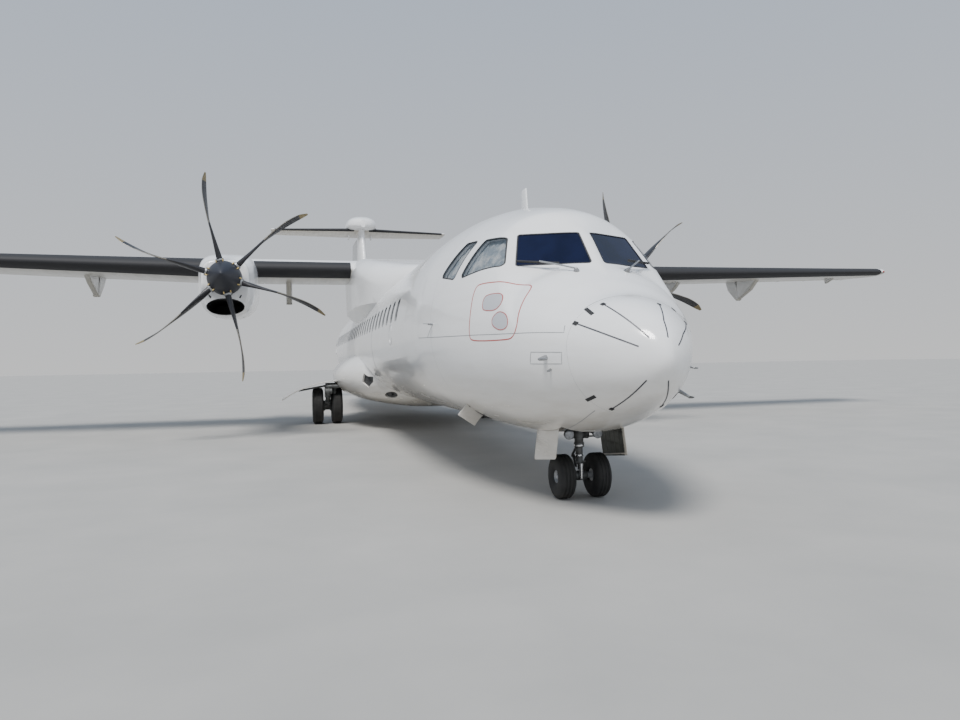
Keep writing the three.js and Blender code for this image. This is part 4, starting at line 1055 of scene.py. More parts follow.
# %% Spinner and hub
NOSE_CAP = [(0.0, -0.59), (0.016, -0.585), (0.045, -0.56), (0.1, -0.49), (0.157, -0.4), (0.208, -0.3),
            (0.247, -0.21), (0.28, -0.12), (0.304, -0.02), (0.314, 0.08), (0.317, 0.198)]
inner = [(r - 0.014, y) for r, y in NOSE_CAP[2:][::-1]]
spinner = spun(NOSE_CAP + inner + [(0.0, -0.54)], steps=96)
for a in around(6):
    carve(spinner, rod((0, 0, 0), (0.4 * math.sin(a), 0, 0.4 * math.cos(a)), 0.078, sides=40))
hub = spun([(0.0, -0.13), (0.15, -0.13), (0.185, -0.08), (0.19, -0.05), (0.19, 0.1), (0.3, 0.105),
            (0.305, 0.12), (0.305, 0.19), (0.3, 0.2), (0.12, 0.2), (0.12, 0.5287), (0.0, 0.5287)], steps=64)
bolt = spun([(0.0, 0.012), (0.009, 0.012), (0.012, 0.008), (0.012, -0.03), (0.0, -0.03)], "Z", 12)
bolts = joined([moved(copy_of(bolt), (aside, -0.115, 0.306)) for aside in (-0.062, 0.062)])
collar = spun([(0.068, 0.305), (0.0765, 0.307), (0.0765, 0.335), (0.074, 0.345), (0.066, 0.348),
               (0.064, 0.32)], "Z", 40)
print("spinner:", len(spinner.data.polygons), "faces")

# %% [markdown]
# The blades' paint is a smooth satin with small stone chips and a yellowish band at the tip, a
# painted reflection; the spinner is matte black, a little polished where hands turn it.

# %% Propeller finishes
def satin(name, colour, worn, roughness, scale=30.0, tip=None):
    paint = Finish(name, Coat_Weight=0.1)
    chips = paint.noise(scale * 6, detail=3.0).between(0.66, 0.74)
    wipe = paint.noise(scale * 0.1)
    paint.bump(paint.noise(scale * 10) * 0.4 - chips, 0.0004, 0.5)
    shade = paint.mix(chips * 0.35, paint.mix(wipe * 0.5, colour, worn), worn)
    # The tip band is painted reflection: a yellowish tone where the blade tips catch the light.
    if tip:
        reach = paint.away(paint.x.size() - HUB[0], paint.z - HUB[2])
        shade = paint.mix(reach.between(1.80, 1.81), shade, tip)
    return paint.give(Base_Color=shade, Roughness=wipe * 0.22 + roughness)


def metal(name, colour, dark, roughness=0.32, scale=40.0):
    bare = Finish(name, Metallic=0.9)
    grain = bare.noise(scale)
    stain = bare.noise(scale * 0.15).between(0.35, 0.75)
    bare.bump(bare.noise(scale * 4, detail=2.0), 0.0005, 0.5)
    return bare.give(Base_Color=bare.mix(stain, colour, dark), Roughness=grain * 0.25 + roughness)


# The tip colour is a painted reflection on the blade tips.
blade_paint = satin("blade paint", (0.008, 0.008, 0.011), (0.022, 0.022, 0.028), 0.42,
                    tip=(0.20, 0.155, 0.07))
spinner_paint = satin("spinner paint", (0.007, 0.009, 0.016), (0.02, 0.022, 0.034), 0.46)
nickel = metal("nickel strip", (0.34, 0.32, 0.28), (0.18, 0.16, 0.13))
brass = metal("brass bolts", (0.75, 0.58, 0.26), (0.45, 0.33, 0.14), 0.28)
grey_metal = metal("grey metal", (0.42, 0.43, 0.44), (0.20, 0.20, 0.20))

# %% Two propellers
def six(piece, centre, turn):
    """Six copies round the shaft, the first one turned by an angle."""
    return [moved(copy_of(piece), centre, turn + step) for step in around(6)]


for side, label, phase in ((1, "left", -16.2), (-1, "right", -12.5)):
    centre, turn = Vector((side * HUB[0], HUB[1], HUB[2])), math.radians(phase)
    body = f"propeller_{label}"
    hand_over([moved(copy_of(hub), centre, turn), *six(blade, centre, turn)], f"{body}_blades",
              "propeller_finish", blade_paint, body, body=body)
    for name, piece, finish in (("edge_strips", edge_strip, nickel), ("bolts", bolts, brass),
                                ("collars", collar, grey_metal)):
        hand_over(six(piece, centre, turn), f"{body}_{name}", "propeller_finish", finish, body=body)
    hand_over(moved(copy_of(spinner), centre, turn), f"spinner_{label}_shell", "spinner_finish",
              spinner_paint, f"spinner_{label}", body=body)
remove(blade, edge_strip, bolt, bolts, collar, hub, spinner)
# %% [markdown]
# ## Tail
# A tall fin with a long dorsal fillet carries the tailplane and a rounded fairing on top. The
# fin's sections run up its height, the tailplane's out along its span.

# %% Fin
FIN = np.array([[3050, 22350, 4200, 470], [4000, 23000, 3560, 440], [6780, 24560, 2200, 310],
                [7160, 24700, 2150, 290]]) / 1000
RUDDER_LOW, RUDDER_HIGH = (25.16, 3.42), (25.9, 6.8)


def fin_ring(height):
    station, chord, thick = (np.interp(height, FIN[:, 0], FIN[:, k]) for k in (1, 2, 3))
    aft, rise = aerofoil(chord, thick / chord, 0.0, 24).T
    return np.stack([rise, station + AFT + aft, np.full_like(aft, height)], -1)


fin_whole = rolled([fin_ring(z) for z in np.linspace(3.05, 7.16, 42)], caps=True)
DORSAL = [[19700, 30, 3270], [21300, 70, 3480], [22600, 120, 3900], [23350, 140, 4560]]
stations, (half, ridge) = resampled(DORSAL, 0.12)
dorsal_rings = []
for s, w, top in zip(stations, half, ridge):
    turn = np.linspace(-math.pi / 2, math.pi / 2, 15)
    arch = [(w * math.sin(a), s + AFT, top - 0.4 + 0.4 * math.cos(a) ** 0.8) for a in turn]
    dorsal_rings.append(arch + [(w, s + AFT, 2.9), (-w, s + AFT, 2.9)])
dorsal = rolled(dorsal_rings, caps=True)
BULLET = [[24150, 90, 7290], [24350, 400, 7400], [24750, 590, 7530], [25300, 640, 7620], [25800, 600, 7650],
          [26350, 380, 7480], [26750, 90, 7200]]
stations, (wide, top) = resampled(BULLET, 0.06)
bullet = rolled([superellipse(s, 7.13, w, t, 6.99, 2.4, sides=64) for s, w, t in
                 zip(stations, wide, top)], caps=True)
print("fin top", round(max(v.co.z for v in bullet.data.vertices), 4))

# %% Rudder
RUDDER_LEAN = (RUDDER_HIGH[0] - RUDDER_LOW[0]) / (RUDDER_HIGH[1] - RUDDER_LOW[1])


def hinge_corner(height, aft):
    """A place that lies so far aft of the leaning hinge line, square to it."""
    return RUDDER_LOW[0] + AFT + (height - RUDDER_LOW[1]) * RUDDER_LEAN + aft, height - RUDDER_LEAN * aft


def hinge_sheet(forward, gap):
    low, high = RUDDER_LOW[1] + gap, RUDDER_HIGH[1] - gap
    return plate([hinge_corner(low, -forward), hinge_corner(low, 2.0), hinge_corner(high, 2.0),
                  hinge_corner(high, -forward)], (-2.0, 2.0))


def rudder_axis(height):
    return Vector((0, hinge_corner(height, 0)[0], height))


rudder = carve(copy_of(fin_whole), hinge_sheet(0.0, GAP), "INTERSECT")
carve(rudder, rod(rudder_axis(3.435), rudder_axis(6.785), 0.128, 0.096, 56), "UNION")
carve(rudder, rod(rudder_axis(3.4205), rudder_axis(6.7995), 0.022), "UNION")
along = (rudder_axis(6.8) - rudder_axis(3.42)).normalized()
pivot = Matrix.Translation(rudder_axis(3.42))
PHOTO_TURN = math.radians(15)
rudder.data.transform(pivot @ Matrix.Rotation(PHOTO_TURN, 4, along) @ pivot.inverted())

# %% Tailplane and elevators
TAILPLANE = np.array([[0, 24.85, 2.05, 7.02, 0.11], [3.595, 25.37, 1.3, 7.03, 0.1]])


def tail_ring(across):
    station, chord, height, ratio = (np.interp(abs(across), TAILPLANE[:, 0], TAILPLANE[:, k])
                                     for k in range(1, 5))
    tip = np.clip((abs(across) - 3.595) / 0.06, 0, 1)
    fall = 1 - math.sqrt(1 - tip ** 2)
    aft, rise = aerofoil(chord * (1 - 0.09 * fall), ratio * (1 - 0.85 * fall), 0.0, 22).T
    return np.stack([np.full_like(aft, across), station + 0.08 * fall + AFT + aft, height + rise], -1)


half_rows = np.concatenate([np.arange(0.14, 3.5, 0.14),
                            3.595 + 0.06 * np.sin(np.linspace(0, math.pi / 2, 7))])
tail_rows = np.concatenate([-half_rows[::-1], [0.0], half_rows])
tail_whole = rolled([tail_ring(x) for x in tail_rows], caps=True)


def elevator_axis(across):
    share = (across - 0.5) / 3.06
    return Vector((across, 26.2 + 0.03 * share + AFT, 7.03 - 0.01 * (1 - share)))


def elevator_bay(forward, gap):
    first, last = 0.5 + gap, 3.56 - gap
    outline = [(first, elevator_axis(first).y - forward), (last, elevator_axis(last).y - forward),
               (last, 28.5 + AFT), (first, 28.5 + AFT)]
    return pushed([Vector((x, y, 7.0)) for x, y in outline], (0, 0, 1), 1.0)


elevator = carve(copy_of(tail_whole), elevator_bay(0.0, GAP), "INTERSECT")
carve(elevator, rod(elevator_axis(0.515), elevator_axis(3.545), 0.07, 0.043, 40), "UNION")
carve(elevator, rod(elevator_axis(0.5008), elevator_axis(3.5592), 0.02), "UNION")
tail_tool = copy_of(tail_whole)
modify(tail_tool, "DISPLACE", strength=0.0008, mid_level=0)
bay = elevator_bay(0.082, 0.0)
carve(tail_whole, copy_of(bay, mirror=True))
carve(tail_whole, bay)

# %% Trim the fin and hand the tail over
carve(fin_whole, dorsal, "UNION")
carve(fin_whole, bullet, "UNION")
carve(fin_whole, hinge_sheet(0.128 + GAP, 0.0))
carve(fin_whole, hull_tube((18.5, TAIL_TIP, 0.147), 128, -CLEAR, caps=True))
carve(fin_whole, tail_tool)
# The tailplane's underside gets a lighter cream-grey painted shade.
tail_paint = wing_paint("tail paint", under=(0.60, 0.56, 0.48))
# The rudder's white is toned down to grey: painted shade for the rudder turned away from the light. The real
# rudder is white like the fin.
rudder_painted_shade = white_paint("rudder painted shade", tint=(0.62, 0.63, 0.64))
hand_over(fin_whole, "fin_skin", "composite_paint", composite_paint, "fin")
hand_over(rudder, "rudder_skin", "composite_paint", rudder_painted_shade, "rudder", body="rudder")
hand_over(tail_whole, "tailplane_skin", "wing_paint", tail_paint, "tailplane")
hand_over_pair(elevator, "elevator_{}_skin", "wing_paint", tail_paint, "elevator_{}", body="elevator_{}")

# %% Tail boots and brackets
brackets = [plate([(25.62 + AFT, 6.99), (25.72 + AFT, 6.79), (26.0 + AFT, 6.76), (26.1 + AFT, 6.99)],
                  (side * 0.47 - 0.03, side * 0.47 + 0.03), 0.012) for side in (1, -1)]
hand_over(brackets, "tailplane_brackets", "wing_paint", composite_paint)
tail_boots = joined([boot(np.linspace(0.3, 3.5, 18) * side, tail_ring, 18, 25) for side in (1, -1)])
hand_over(face_outwards(tail_boots), "tailplane_boots", "wing_paint", boot_rubber, angle=50)

# %% [markdown]
# ## Wheels
# A tyre is one closed profile spun round the axle: beads at the rim, full sidewalls, and a flat
# tread with grooves. The nose wheels are small and fat, the main ones larger. Both hubs of a
# pair and their axle are one profile too.

# %% Tyres
WHEELS = {
    "nose": {"radius": 0.225, "rim": 0.064, "half": 0.086, "offset": 0.191, "axle": 0.032,
             "grooves": 3, "steps": (96, 64), "nuts": (8, 0.036, 0.028)},
    "main": {"radius": 0.432, "rim": 0.203, "half": 0.127, "offset": 0.223, "axle": 0.055,
             "grooves": 4, "steps": (120, 96), "nuts": (12, 0.088, 0.026)},
}
SIDEWALL = ((0, 0.72), (0.05, 0.80), (0.18, 0.92), (0.36, 0.99), (0.5, 1.0), (0.66, 0.985), (0.8, 0.93),
            (0.9, 0.83), (0.965, 0.70))


def tyre_profile(wheel):
    radius, rim, half = wheel["radius"], wheel["rim"], wheel["half"]
    outer = [(rim + up * (radius - rim), share * half) for up, share in SIDEWALL]
    outer.append((radius - 0.001, 0.58 * half))
    tread = []
    for centre in np.linspace(-0.42, 0.42, wheel["grooves"]) * half:
        wide = 0.22 * half
        tread += [(radius, centre - wide / 2), (radius - 0.006, centre - wide / 2.6),
                  (radius - 0.006, centre + wide / 2.6), (radius, centre + wide / 2)]
    return [(r, -x) for r, x in outer] + tread + outer[::-1]


def hub_profile(wheel):
    half, offset, axle = (wheel[k] for k in ("half", "offset", "axle"))
    face, back, seat = offset + half * 0.72, offset - half * 0.72, wheel["rim"] - 0.0003
    outer = [(axle, back + 0.006), (seat - 0.018, back), (seat, back), (seat, face)]
    outer += [(seat * share, face + step) for share, step in (
        (0.93, 0.002), (0.88, -0.004), (0.8, -0.022), (0.62, -0.034), (0.46, -0.03), (0.42, -0.012),
        (0.34, -0.004), (0.3, 0), (0, 0))]
    return [(r, -x) for r, x in outer[::-1]] + outer


wheel_nut = spun([(0.0, 0.006), (0.007, 0.006), (0.008, 0.004), (0.008, -0.012), (0.0, -0.012)], "X", 6)
for wheel in WHEELS.values():
    wheel["tyre"] = spun(tyre_profile(wheel), "X", wheel["steps"][0])
    wheel["hub"] = spun(hub_profile(wheel), "X", wheel["steps"][1])
    count, ring, sunk = wheel["nuts"]
    depth = wheel["offset"] + wheel["half"] * 0.72 - sunk
    wheel["nuts"] = both([moved(copy_of(wheel_nut), (depth, ring * math.cos(a), ring * math.sin(a)))
                          for a in around(count) + math.pi / count])
for a in around(9):
    y, z = 0.128 * math.cos(a), 0.128 * math.sin(a)
    for side in (1, -1):
        carve(WHEELS["main"]["hub"], rod((side * 0.25, y, z), (side * 0.36, y, z), 0.021, sides=20))
remove(wheel_nut)
print("tyres:", [len(wheel["tyre"].data.polygons) for wheel in WHEELS.values()], "faces")

# %% [markdown]
# Tyre rubber is a dusty dark grey, scuffed lighter on the tread and marked with fine moulded
# rings on the sidewall. The hubs are grey paint over a casting, dark with brake dust.

# %% Wheel finishes
def tyre_rubber(name, radius, centre):
    paint = Finish(name)
    dust = paint.noise(9.0, detail=6.0)
    reach = paint.away(paint.y - centre.y, paint.z - centre.z)
    tread = reach.between(radius * 0.93, radius * 0.985)
    rings = (reach * 260.0).sum("SINE") * (1 - tread)
    paint.bump(rings * 0.25 + paint.noise(90.0) * 0.7, 0.001, 0.6)
    low = 1 - paint.z.between(0.0, radius * 0.5)
    colour = paint.mix(dust.between(0.35, 0.75) * 0.6 + tread * 0.25, (0.009, 0.009, 0.009),
                       (0.034, 0.033, 0.031))
    return paint.give(Base_Color=paint.mix(low * 0.25, colour, (0.09, 0.084, 0.07)),
                      Roughness=dust * 0.2 + 0.68)


def cast_paint(name, colour, grime=(0.05, 0.045, 0.04), amount=0.6):
    paint = Finish(name, Metallic=0.25)
    dirt = paint.noise(14.0, detail=6.0).between(0.4, 0.75)
    grain = paint.noise(120.0)
    paint.bump(grain, 0.0006, 0.5)
    return paint.give(Base_Color=paint.mix(dirt * amount, colour, grime), Roughness=grain * 0.2 + 0.38)


hub_paint = cast_paint("hub paint", (0.42, 0.43, 0.44))
nut_metal = metal("nut metal", (0.5, 0.5, 0.5), (0.22, 0.2, 0.17))
NOSE_STATION, MAIN_STATION = 1.83, 12.6
for name, kind, body, x, station in (("nose", "nose", "nose_wheels", 0, NOSE_STATION),
                                     ("main_left", "main", "main_wheels_left", 2.05, MAIN_STATION),
                                     ("main_right", "main", "main_wheels_right", -2.05, MAIN_STATION)):
    wheel = WHEELS[kind]
    centre = spot(x, station, wheel["radius"])
    finish = tyre_rubber(f"{name} tyre rubber", wheel["radius"], centre)
    for place, side in (("port", 1), ("starboard", -1)):
        tyre = moved(copy_of(wheel["tyre"]), centre + Vector((side * wheel["offset"], 0, 0)))
        hand_over(tyre, f"{name}_{place}_rubber", "tyre", finish, f"{name}_tyre_{place}", body=body)
    hand_over(moved(copy_of(wheel["hub"]), centre), f"{name}_hub_castings", "hub_metal", hub_paint,
              f"{name}_hubs", body=body)
    hand_over(moved(copy_of(wheel["nuts"]), centre), f"{name}_wheel_nuts", "hub_metal", nut_metal, body=body)
remove(*(wheel[part] for wheel in WHEELS.values() for part in ("tyre", "hub", "nuts")))

# %% [markdown]
# ## Landing gear legs
# Each leg is made of turned parts, so most of it is profiles spun round its own line: cylinder,
# collars, chromed piston. Hoses are curves with a round bevel, turned into mesh.

# %% Turned parts and hoses
def turned(start, end, profile, sides=40):
    """A profile of (share of the length, radius) turned round the line between two points."""
    start, end = Vector(start), Vector(end)
    along = end - start
    piece = spun([(0.0, 0.0)] + [(r, t * along.length) for t, r in profile] + [(0.0, along.length)], "Z",
                 sides)
    piece.data.transform(Matrix.Translation(start) @ along.to_track_quat("Z", "Y").to_matrix().to_4x4())
    return piece


def hose(points, radius):
    deselect()
    bpy.ops.curve.primitive_nurbs_path_add()
    curve = bpy.context.object.data
    line = curve.splines[0]
    for k, point in enumerate(line.points):
        point.co = (*points[min(k, len(points) - 1)], 1.0)
    line.use_endpoint_u = True
    line.order_u = 3
    line.resolution_u = 8
    curve.bevel_depth = radius
    curve.bevel_resolution = 3
    curve.use_fill_caps = True
    bpy.ops.object.convert(target="MESH")
    return face_outwards(settle())


def band(r, t, wide, lift):
    """A raised band on a turned part: share, radius pairs round one place."""
    return [(t - wide, r), (t - wide, r + lift), (t + wide, r + lift), (t + wide, r)]


def crossbar(x, y, z, profile, sides=40):
    """A turned part across the aircraft, from x[0] to x[1]."""
    return turned((x[0], y, z), (x[1], y, z), profile, sides)


# %% Nose leg
NY = NOSE_STATION + AFT
nose_leg = [
    turned((0, NY, 0.5703), (0, NY, 1.2097), [
        (0, 0.042), (0.02, 0.046), (0.05, 0.046), (0.055, 0.06), *band(0.06, 0.12, 0.02, 0.012),
        *band(0.06, 0.22, 0.012, 0.01), *band(0.06, 0.45, 0.015, 0.01), *band(0.06, 0.7, 0.03, 0.014),
        (1, 0.06)]),
    turned((0, NY - 0.05, 0.76), (0, NY - 0.56, 1.15),
           [(0, 0.02), (0.05, 0.03), *band(0.03, 0.5, 0.03, 0.012), (0.95, 0.03), (1, 0.022)]),
    crossbar((-0.083, 0.083), NY, 0.69, [(0, 0.02), (0.06, 0.028), (0.94, 0.028), (1, 0.02)]),
    turned((0.03, NY + 0.075, 0.62), (0.03, NY + 0.075, 1.1),
           [(0, 0.012), (0.1, 0.018), (0.5, 0.018), (0.52, 0.011), (1, 0.011)]),
    crossbar((-0.15, 0.15), NY - 0.02, 0.705,
             [(0, 0.016), (0.05, 0.024), *band(0.024, 0.5, 0.2, 0.016), (0.95, 0.024), (1, 0.016)], 28),
]
nose_leg += [turned((side * 0.085, NY + 0.01, 0.6), (side * 0.1, NY + 0.02, 0.86), [
    (0, 0.02), (0.05, 0.032), *band(0.032, 0.4, 0.03, 0.007), (0.6, 0.032), (0.62, 0.018), (1, 0.018)], 28)
             for side in (1, -1)]
nose_leg += [hose([(x, NY + 0.06, 1.15), (x * 1.3, NY + 0.09, 0.95), (x, NY + 0.075, 0.74),
                   (x * 0.9, NY + 0.062, 0.6)], 0.007) for x in (-0.045, -0.028)]

# %% Nose fork with its torque link
nose_fork = [
    turned((0, NY, 0.285), (0, NY, 0.57), [
        (0, 0.018), (0.19, 0.018), (0.2, 0.036), (0.24, 0.042), (0.3, 0.042), (0.34, 0.036), (0.8, 0.037),
        (0.82, 0.052), (0.97, 0.052), (1, 0.048)]),
    rod((-0.055, NY - 0.03, 0.368), (0.055, NY - 0.03, 0.368), 0.009, sides=16),
    crossbar((-0.079, 0.079), NY, 0.225, [
        (0, 0.036), (0.08, 0.044), (0.3, 0.044), (0.34, 0.05), (0.66, 0.05), (0.7, 0.044), (0.92, 0.044),
        (1, 0.036)], 48),
    turned((0, NY - 0.05, 0.185), (0, NY - 0.05, 0.2), [(0, 0.012), (0.4, 0.026), (1, 0.026)], 24),
    crossbar((-0.03, 0.03), NY + 0.14, 0.41, [(0, 0.012), (1, 0.012)], 20),
]
nose_fork += [turned((x, NY + low[1], low[0]), (x * 0.5, NY + high[1], high[0]),
                     [(0, 0.009), (0.1, 0.012), (0.9, 0.012), (1, 0.009)], 16)
              for low, high in (((0.31, 0.03), (0.405, 0.14)), ((0.415, 0.14), (0.52, 0.04)))
              for x in (-0.022, 0.022)]
piston = [turned((0, NY - 0.05, 0.199), (0, NY - 0.05, 0.352),
                 [(0, 0.019), (0.05, 0.02), (0.95, 0.02), (1, 0.019)])]
piston += [turned((0, NY, z - 0.012), (0, NY, z + 0.012),
                  [(0, r), (0.2, r + 0.003), (0.8, r + 0.003), (1, r)])
           for z, r in ((0.432, 0.038), (0.535, 0.052))]
leg_paint = cast_paint("leg paint", (0.115, 0.12, 0.12), amount=0.75)
chrome = metal("chromed piston", (0.75, 0.76, 0.77), (0.5, 0.5, 0.5), 0.12)
hand_over(nose_leg, "nose_leg_turned", "gear_paint", leg_paint, "nose_leg")
hand_over(nose_fork, "nose_fork_turned", "gear_paint", leg_paint, "nose_fork", body="nose_steering")
hand_over(piston, "nose_piston_sleeve", "gear_paint", chrome, body="nose_steering")

# %% Taxi lamps on the nose leg
lamps, lenses = [], []
for side in (1, -1):
    at = Vector((side * 0.155, NY - 0.10, 0.66))
    lamps += [turned(at + Vector((0, 0.05, 0)), at - Vector((0, 0.03, 0)),
                     [(0, 0.018), (0.3, 0.04), (0.8, 0.05), (1, 0.052)], 32),
              rod((side * 0.05, NY, 0.70), at + Vector((0, 0.03, -0.01)), 0.013, sides=16),
              rod((side * 0.05, NY, 0.62), at + Vector((0, 0.02, -0.03)), 0.009, sides=12)]
    lenses.append(turned(at - Vector((0, 0.0305, 0)), at - Vector((0, 0.037, 0)),
                         [(0, 0.049), (0.4, 0.047), (1, 0.03)], 32))
lens = Finish("lamp lens", Roughness=0.05, Coat_Weight=1.0)
lens.bump((lens.x * 900.0).sum("SINE"), 0.0008, 0.6)
lens_finish = lens.give(Base_Color=lens.mix(lens.noise(30.0), (0.05, 0.055, 0.06), (0.45, 0.47, 0.5)),
                        Metallic=lens.noise(50.0) * 0.8)
hand_over(lamps, "taxi_lamp_cases", "gear_paint", leg_paint)
hand_over(lenses, "taxi_lamp_lenses", "gear_paint", lens_finish)

# %% [markdown]
# The main legs trail: a heavy arm carries the axle, a shock strut leans over it, and two beams
# run in to the fuselage. Brake packs sit inside the wheels.

# %% Main legs
MX, MY, AXLE = 2.05, MAIN_STATION + AFT, 0.432
main_leg = [
    crossbar((MX - 0.08, MX + 0.08), MY, AXLE, [(0, 0.085), (0.06, 0.105), (0.94, 0.105), (1, 0.085)], 56),
    turned((MX, MY, AXLE + 0.085), (MX, MY, 0.925), [
        (0, 0.042), (0.3, 0.042), (0.31, 0.06), (0.34, 0.066), (0.4, 0.06), *band(0.06, 0.7, 0.02, 0.008),
        (0.95, 0.06), (1, 0.05)]),
    crossbar((MX + 0.045, 1.2303), MY, 0.925, [
        (0, 0.04), (0.03, 0.05), *band(0.048, 0.35, 0.01, 0.008), *band(0.048, 0.8, 0.02, 0.012),
        (1, 0.048)]),
    turned((MX, MY - 0.06, AXLE + 0.06), (MX, MY - 0.43, 0.905),
           [(0, 0.042), (0.05, 0.05), (0.5, 0.046), (0.9, 0.05), (1, 0.044)]),
    crossbar((MX + 0.045, 1.2303), MY - 0.43, 0.905,
             [(0, 0.04), (0.03, 0.05), *band(0.048, 0.5, 0.02, 0.01), (1, 0.048)]),
    turned((1.9, MY - 0.43, 0.9), (1.9, MY - 0.005, 0.92),
           [(0, 0.02), (0.1, 0.026), (0.9, 0.026), (1, 0.02)]),
    crossbar((MX - 0.1, MX + 0.07), MY - 0.44, 0.79,
             [(0, 0.05), (0.05, 0.07), *band(0.07, 0.5, 0.1, 0.012), (0.95, 0.07), (1, 0.05)], 32),
    turned((MX, MY - 0.46, 0.78), (MX - 0.01, MY - 0.16, 0.46), [
        (0, 0.05), (0.05, 0.062), *band(0.062, 0.3, 0.06, 0.016), (0.6, 0.055), *band(0.06, 0.8, 0.08, 0.018),
        (1, 0.05)], 32),
    crossbar((MX - 0.075, MX + 0.075), MY - 0.2, 0.5,
             [(0, 0.035), (0.05, 0.05), (0.3, 0.062), (0.7, 0.062), (0.95, 0.05), (1, 0.035)], 28),
    turned((MX - 0.16, MY - 0.3, 0.93), (MX - 0.16, MY - 0.3, 0.72),
           [(0, 0.03), (0.1, 0.042), (0.8, 0.042), (1, 0.03)], 24),
]
for side in (1, -1):
    main_leg += [crossbar((MX + side * 0.055, MX + side * 0.084), MY + 0.105 * math.cos(a),
                          AXLE + 0.105 * math.sin(a), [(0, 0.017), (0.2, 0.022), (1, 0.022)], 16)
                 for a in around(7) + 0.3]
    main_leg.append(crossbar((MX + side * 0.082, MX + side * 0.128), MY, AXLE, [
        (0, 0.12), (0.06, 0.15), (0.3, 0.15), (0.32, 0.158), (0.55, 0.158), (0.57, 0.15), (0.9, 0.15),
        (1, 0.14)], 64))
main_leg += [hose([(MX - 0.07 + dx, MY - 0.02, 0.5), (MX - 0.1 + dx, MY - 0.1, 0.65),
                   (MX - 0.09 + dx, MY - 0.06, 0.8), (MX - 0.2 + dx, MY + 0.03, 0.95),
                   (1.5 + dx, MY + 0.055, 0.96)], 0.008) for dx in (0, 0.022)]
hand_over_pair(main_leg, "main_leg_{}_turned", "gear_paint", leg_paint, "main_leg_{}")

# %% [markdown]
# ## Gear doors
# The nose doors hang open beside the leg: a flat white skin with a folded rim and stiffening
# ribs inside. The main doors stand out over the wheels as one curved plate with struts below.

# %% Nose gear doors
def slab(y, z, x, bevel):
    return plate([(y[0], z[1]), (y[0], z[0]), (y[1], z[0]), (y[1], z[1])], x, bevel)


front, back, top = 1.50 + AFT, 2.10 + AFT, 0.80
nose_door = plate([(front, top), (front, 0.46), (front + 0.02, 0.446), (back - 0.02, 0.374), (back, 0.388),
                   (back, top)], (0.378, 0.386), 0.0025)
edit(nose_door)
pick("faces", lambda f: f.normal.x < -0.9)
bpy.ops.mesh.inset(thickness=0.028, depth=0)
pick("faces", lambda f: f.normal.x < -0.9 and f.calc_area() > 0.05)
bpy.ops.mesh.extrude_region_move(TRANSFORM_OT_translate={"value": (0.004, 0, 0)})
done()
frames = [plate([(front + 0.05, top), (front + 0.05, 0.442), (back - 0.022, 0.378), (back - 0.022, top)],
                (0.3745, 0.3775), 0.001)]
frames += [slab((y - 0.014, y + 0.014), (0.44, top), (0.3725, 0.3805), 0.002)
           for y in np.linspace(front + 0.14, back - 0.14, 4)]
frames += [slab((front + 0.03, back - 0.03), (z - 0.01, z + 0.01), (0.3745, 0.381), 0.002)
           for z in (0.55, 0.68)]
frames = joined(frames)
SPLAY = Matrix(((1, 0, -0.13, 0.13 * 0.75 - 0.04), (0, 1, 0, 0), (0, 0, 1, 0), (0, 0, 0, 1)))
for piece in (nose_door, frames):
    piece.data.transform(SPLAY)
door_primer = cast_paint("door primer", (0.10, 0.105, 0.09), (0.04, 0.04, 0.035), 0.6)
hand_over_pair(nose_door, "nose_gear_door_{}_skin", "composite_paint", composite_paint, "nose_gear_door_{}")
hand_over_pair(frames, "nose_gear_door_{}_frames", "gear_paint", door_primer)

# %% Main gear doors
DOOR_CURVE = curve_through([1.70, 1.90, 2.10, 2.456, 2.80, 3.10], [1.045, 1.042, 1.018, 0.935, 0.80, 0.62])


def thickened(sheet, thickness):
    """Thickens a sheet downwards, whichever way its faces look."""
    down = -1 if sheet.data.polygons[0].normal.z > 0 else 1
    return modify(sheet, "SOLIDIFY", thickness=thickness, offset=down)


main_door = thickened(rolled([[(x, y, float(DOOR_CURVE(x)))
                               for y in np.linspace(12.08 + AFT, 13.12 + AFT, 14)]
                              for x in np.linspace(1.70, 3.10, 40)], closed=False), 0.024)
soften(main_door, 0.006, 2, 60)
carve(main_door, rolled([superellipse(s, 1.15, w + CLEAR, 1.85 + CLEAR, b, 2.0, 2.4) for s, w, b in
                         ((11.6, 1.82, 0.47), (12.4, 1.88, 0.47), (13.6, 1.86, 0.475))], caps=True))
struts = [rod((2.13, y, 0.90), end, radius, sides=16) for y in (MY - 0.25, MY + 0.25)
          for end, radius in (((2.72, y, 0.80), 0.013), ((1.4, y, 0.93), 0.018))]
hand_over_pair(main_door, "main_gear_door_{}_skin", "composite_paint", composite_paint, "main_gear_door_{}")
hand_over_pair(struts, "main_gear_door_{}_struts", "gear_paint", leg_paint)

# %% [markdown]
# ## Doors and cabin windows
# A freight door forward and a passenger door aft on the left side, and a service door aft on
# the right. Each is cut from a copy of the skin with rounded corners, so that door and doorway
# match with a narrow gap. The passenger door's upright edges lean with the tapering hull.

# %% Door tools
DOORS = {
    "cargo_door": {"stations": (3.35, 4.625), "heights": (1.18, 2.71), "side": 1, "lean": 0.0, "room": (1, 2),
                   "hinge": ((1.1157, -8.998, 2.71), (1.0640, -10.193, 2.71)), "handle": (4.0, 1.4),
                   "skin": ("forward_fuselage", 2.9003, 5.8997)},
    "passenger_door": {"stations": (19.9, 20.72), "heights": (1.215, 2.95), "side": 1, "lean": 0.175,
                       "room": (2, 1), "hinge": ((1.08423, 6.357, 1.215), (0.9546, 7.097, 1.215)),
                       "handle": (20.55, 2.05), "window": (20.31, 2.42),
                       "skin": ("aft_fuselage", 19.4, 21.2)},
    "service_door": {"stations": (19.95, 20.56), "heights": (1.3, 2.52), "side": -1, "lean": 0.0,
                     "room": (1, 1), "hinge": ((-1.39337, 6.367, 1.82), (-1.39337, 6.367, 1.94)),
                     "handle": (20.45, 1.8), "window": (20.25, 2.16), "skin": ("aft_fuselage", 19.4, 21.2)},
}


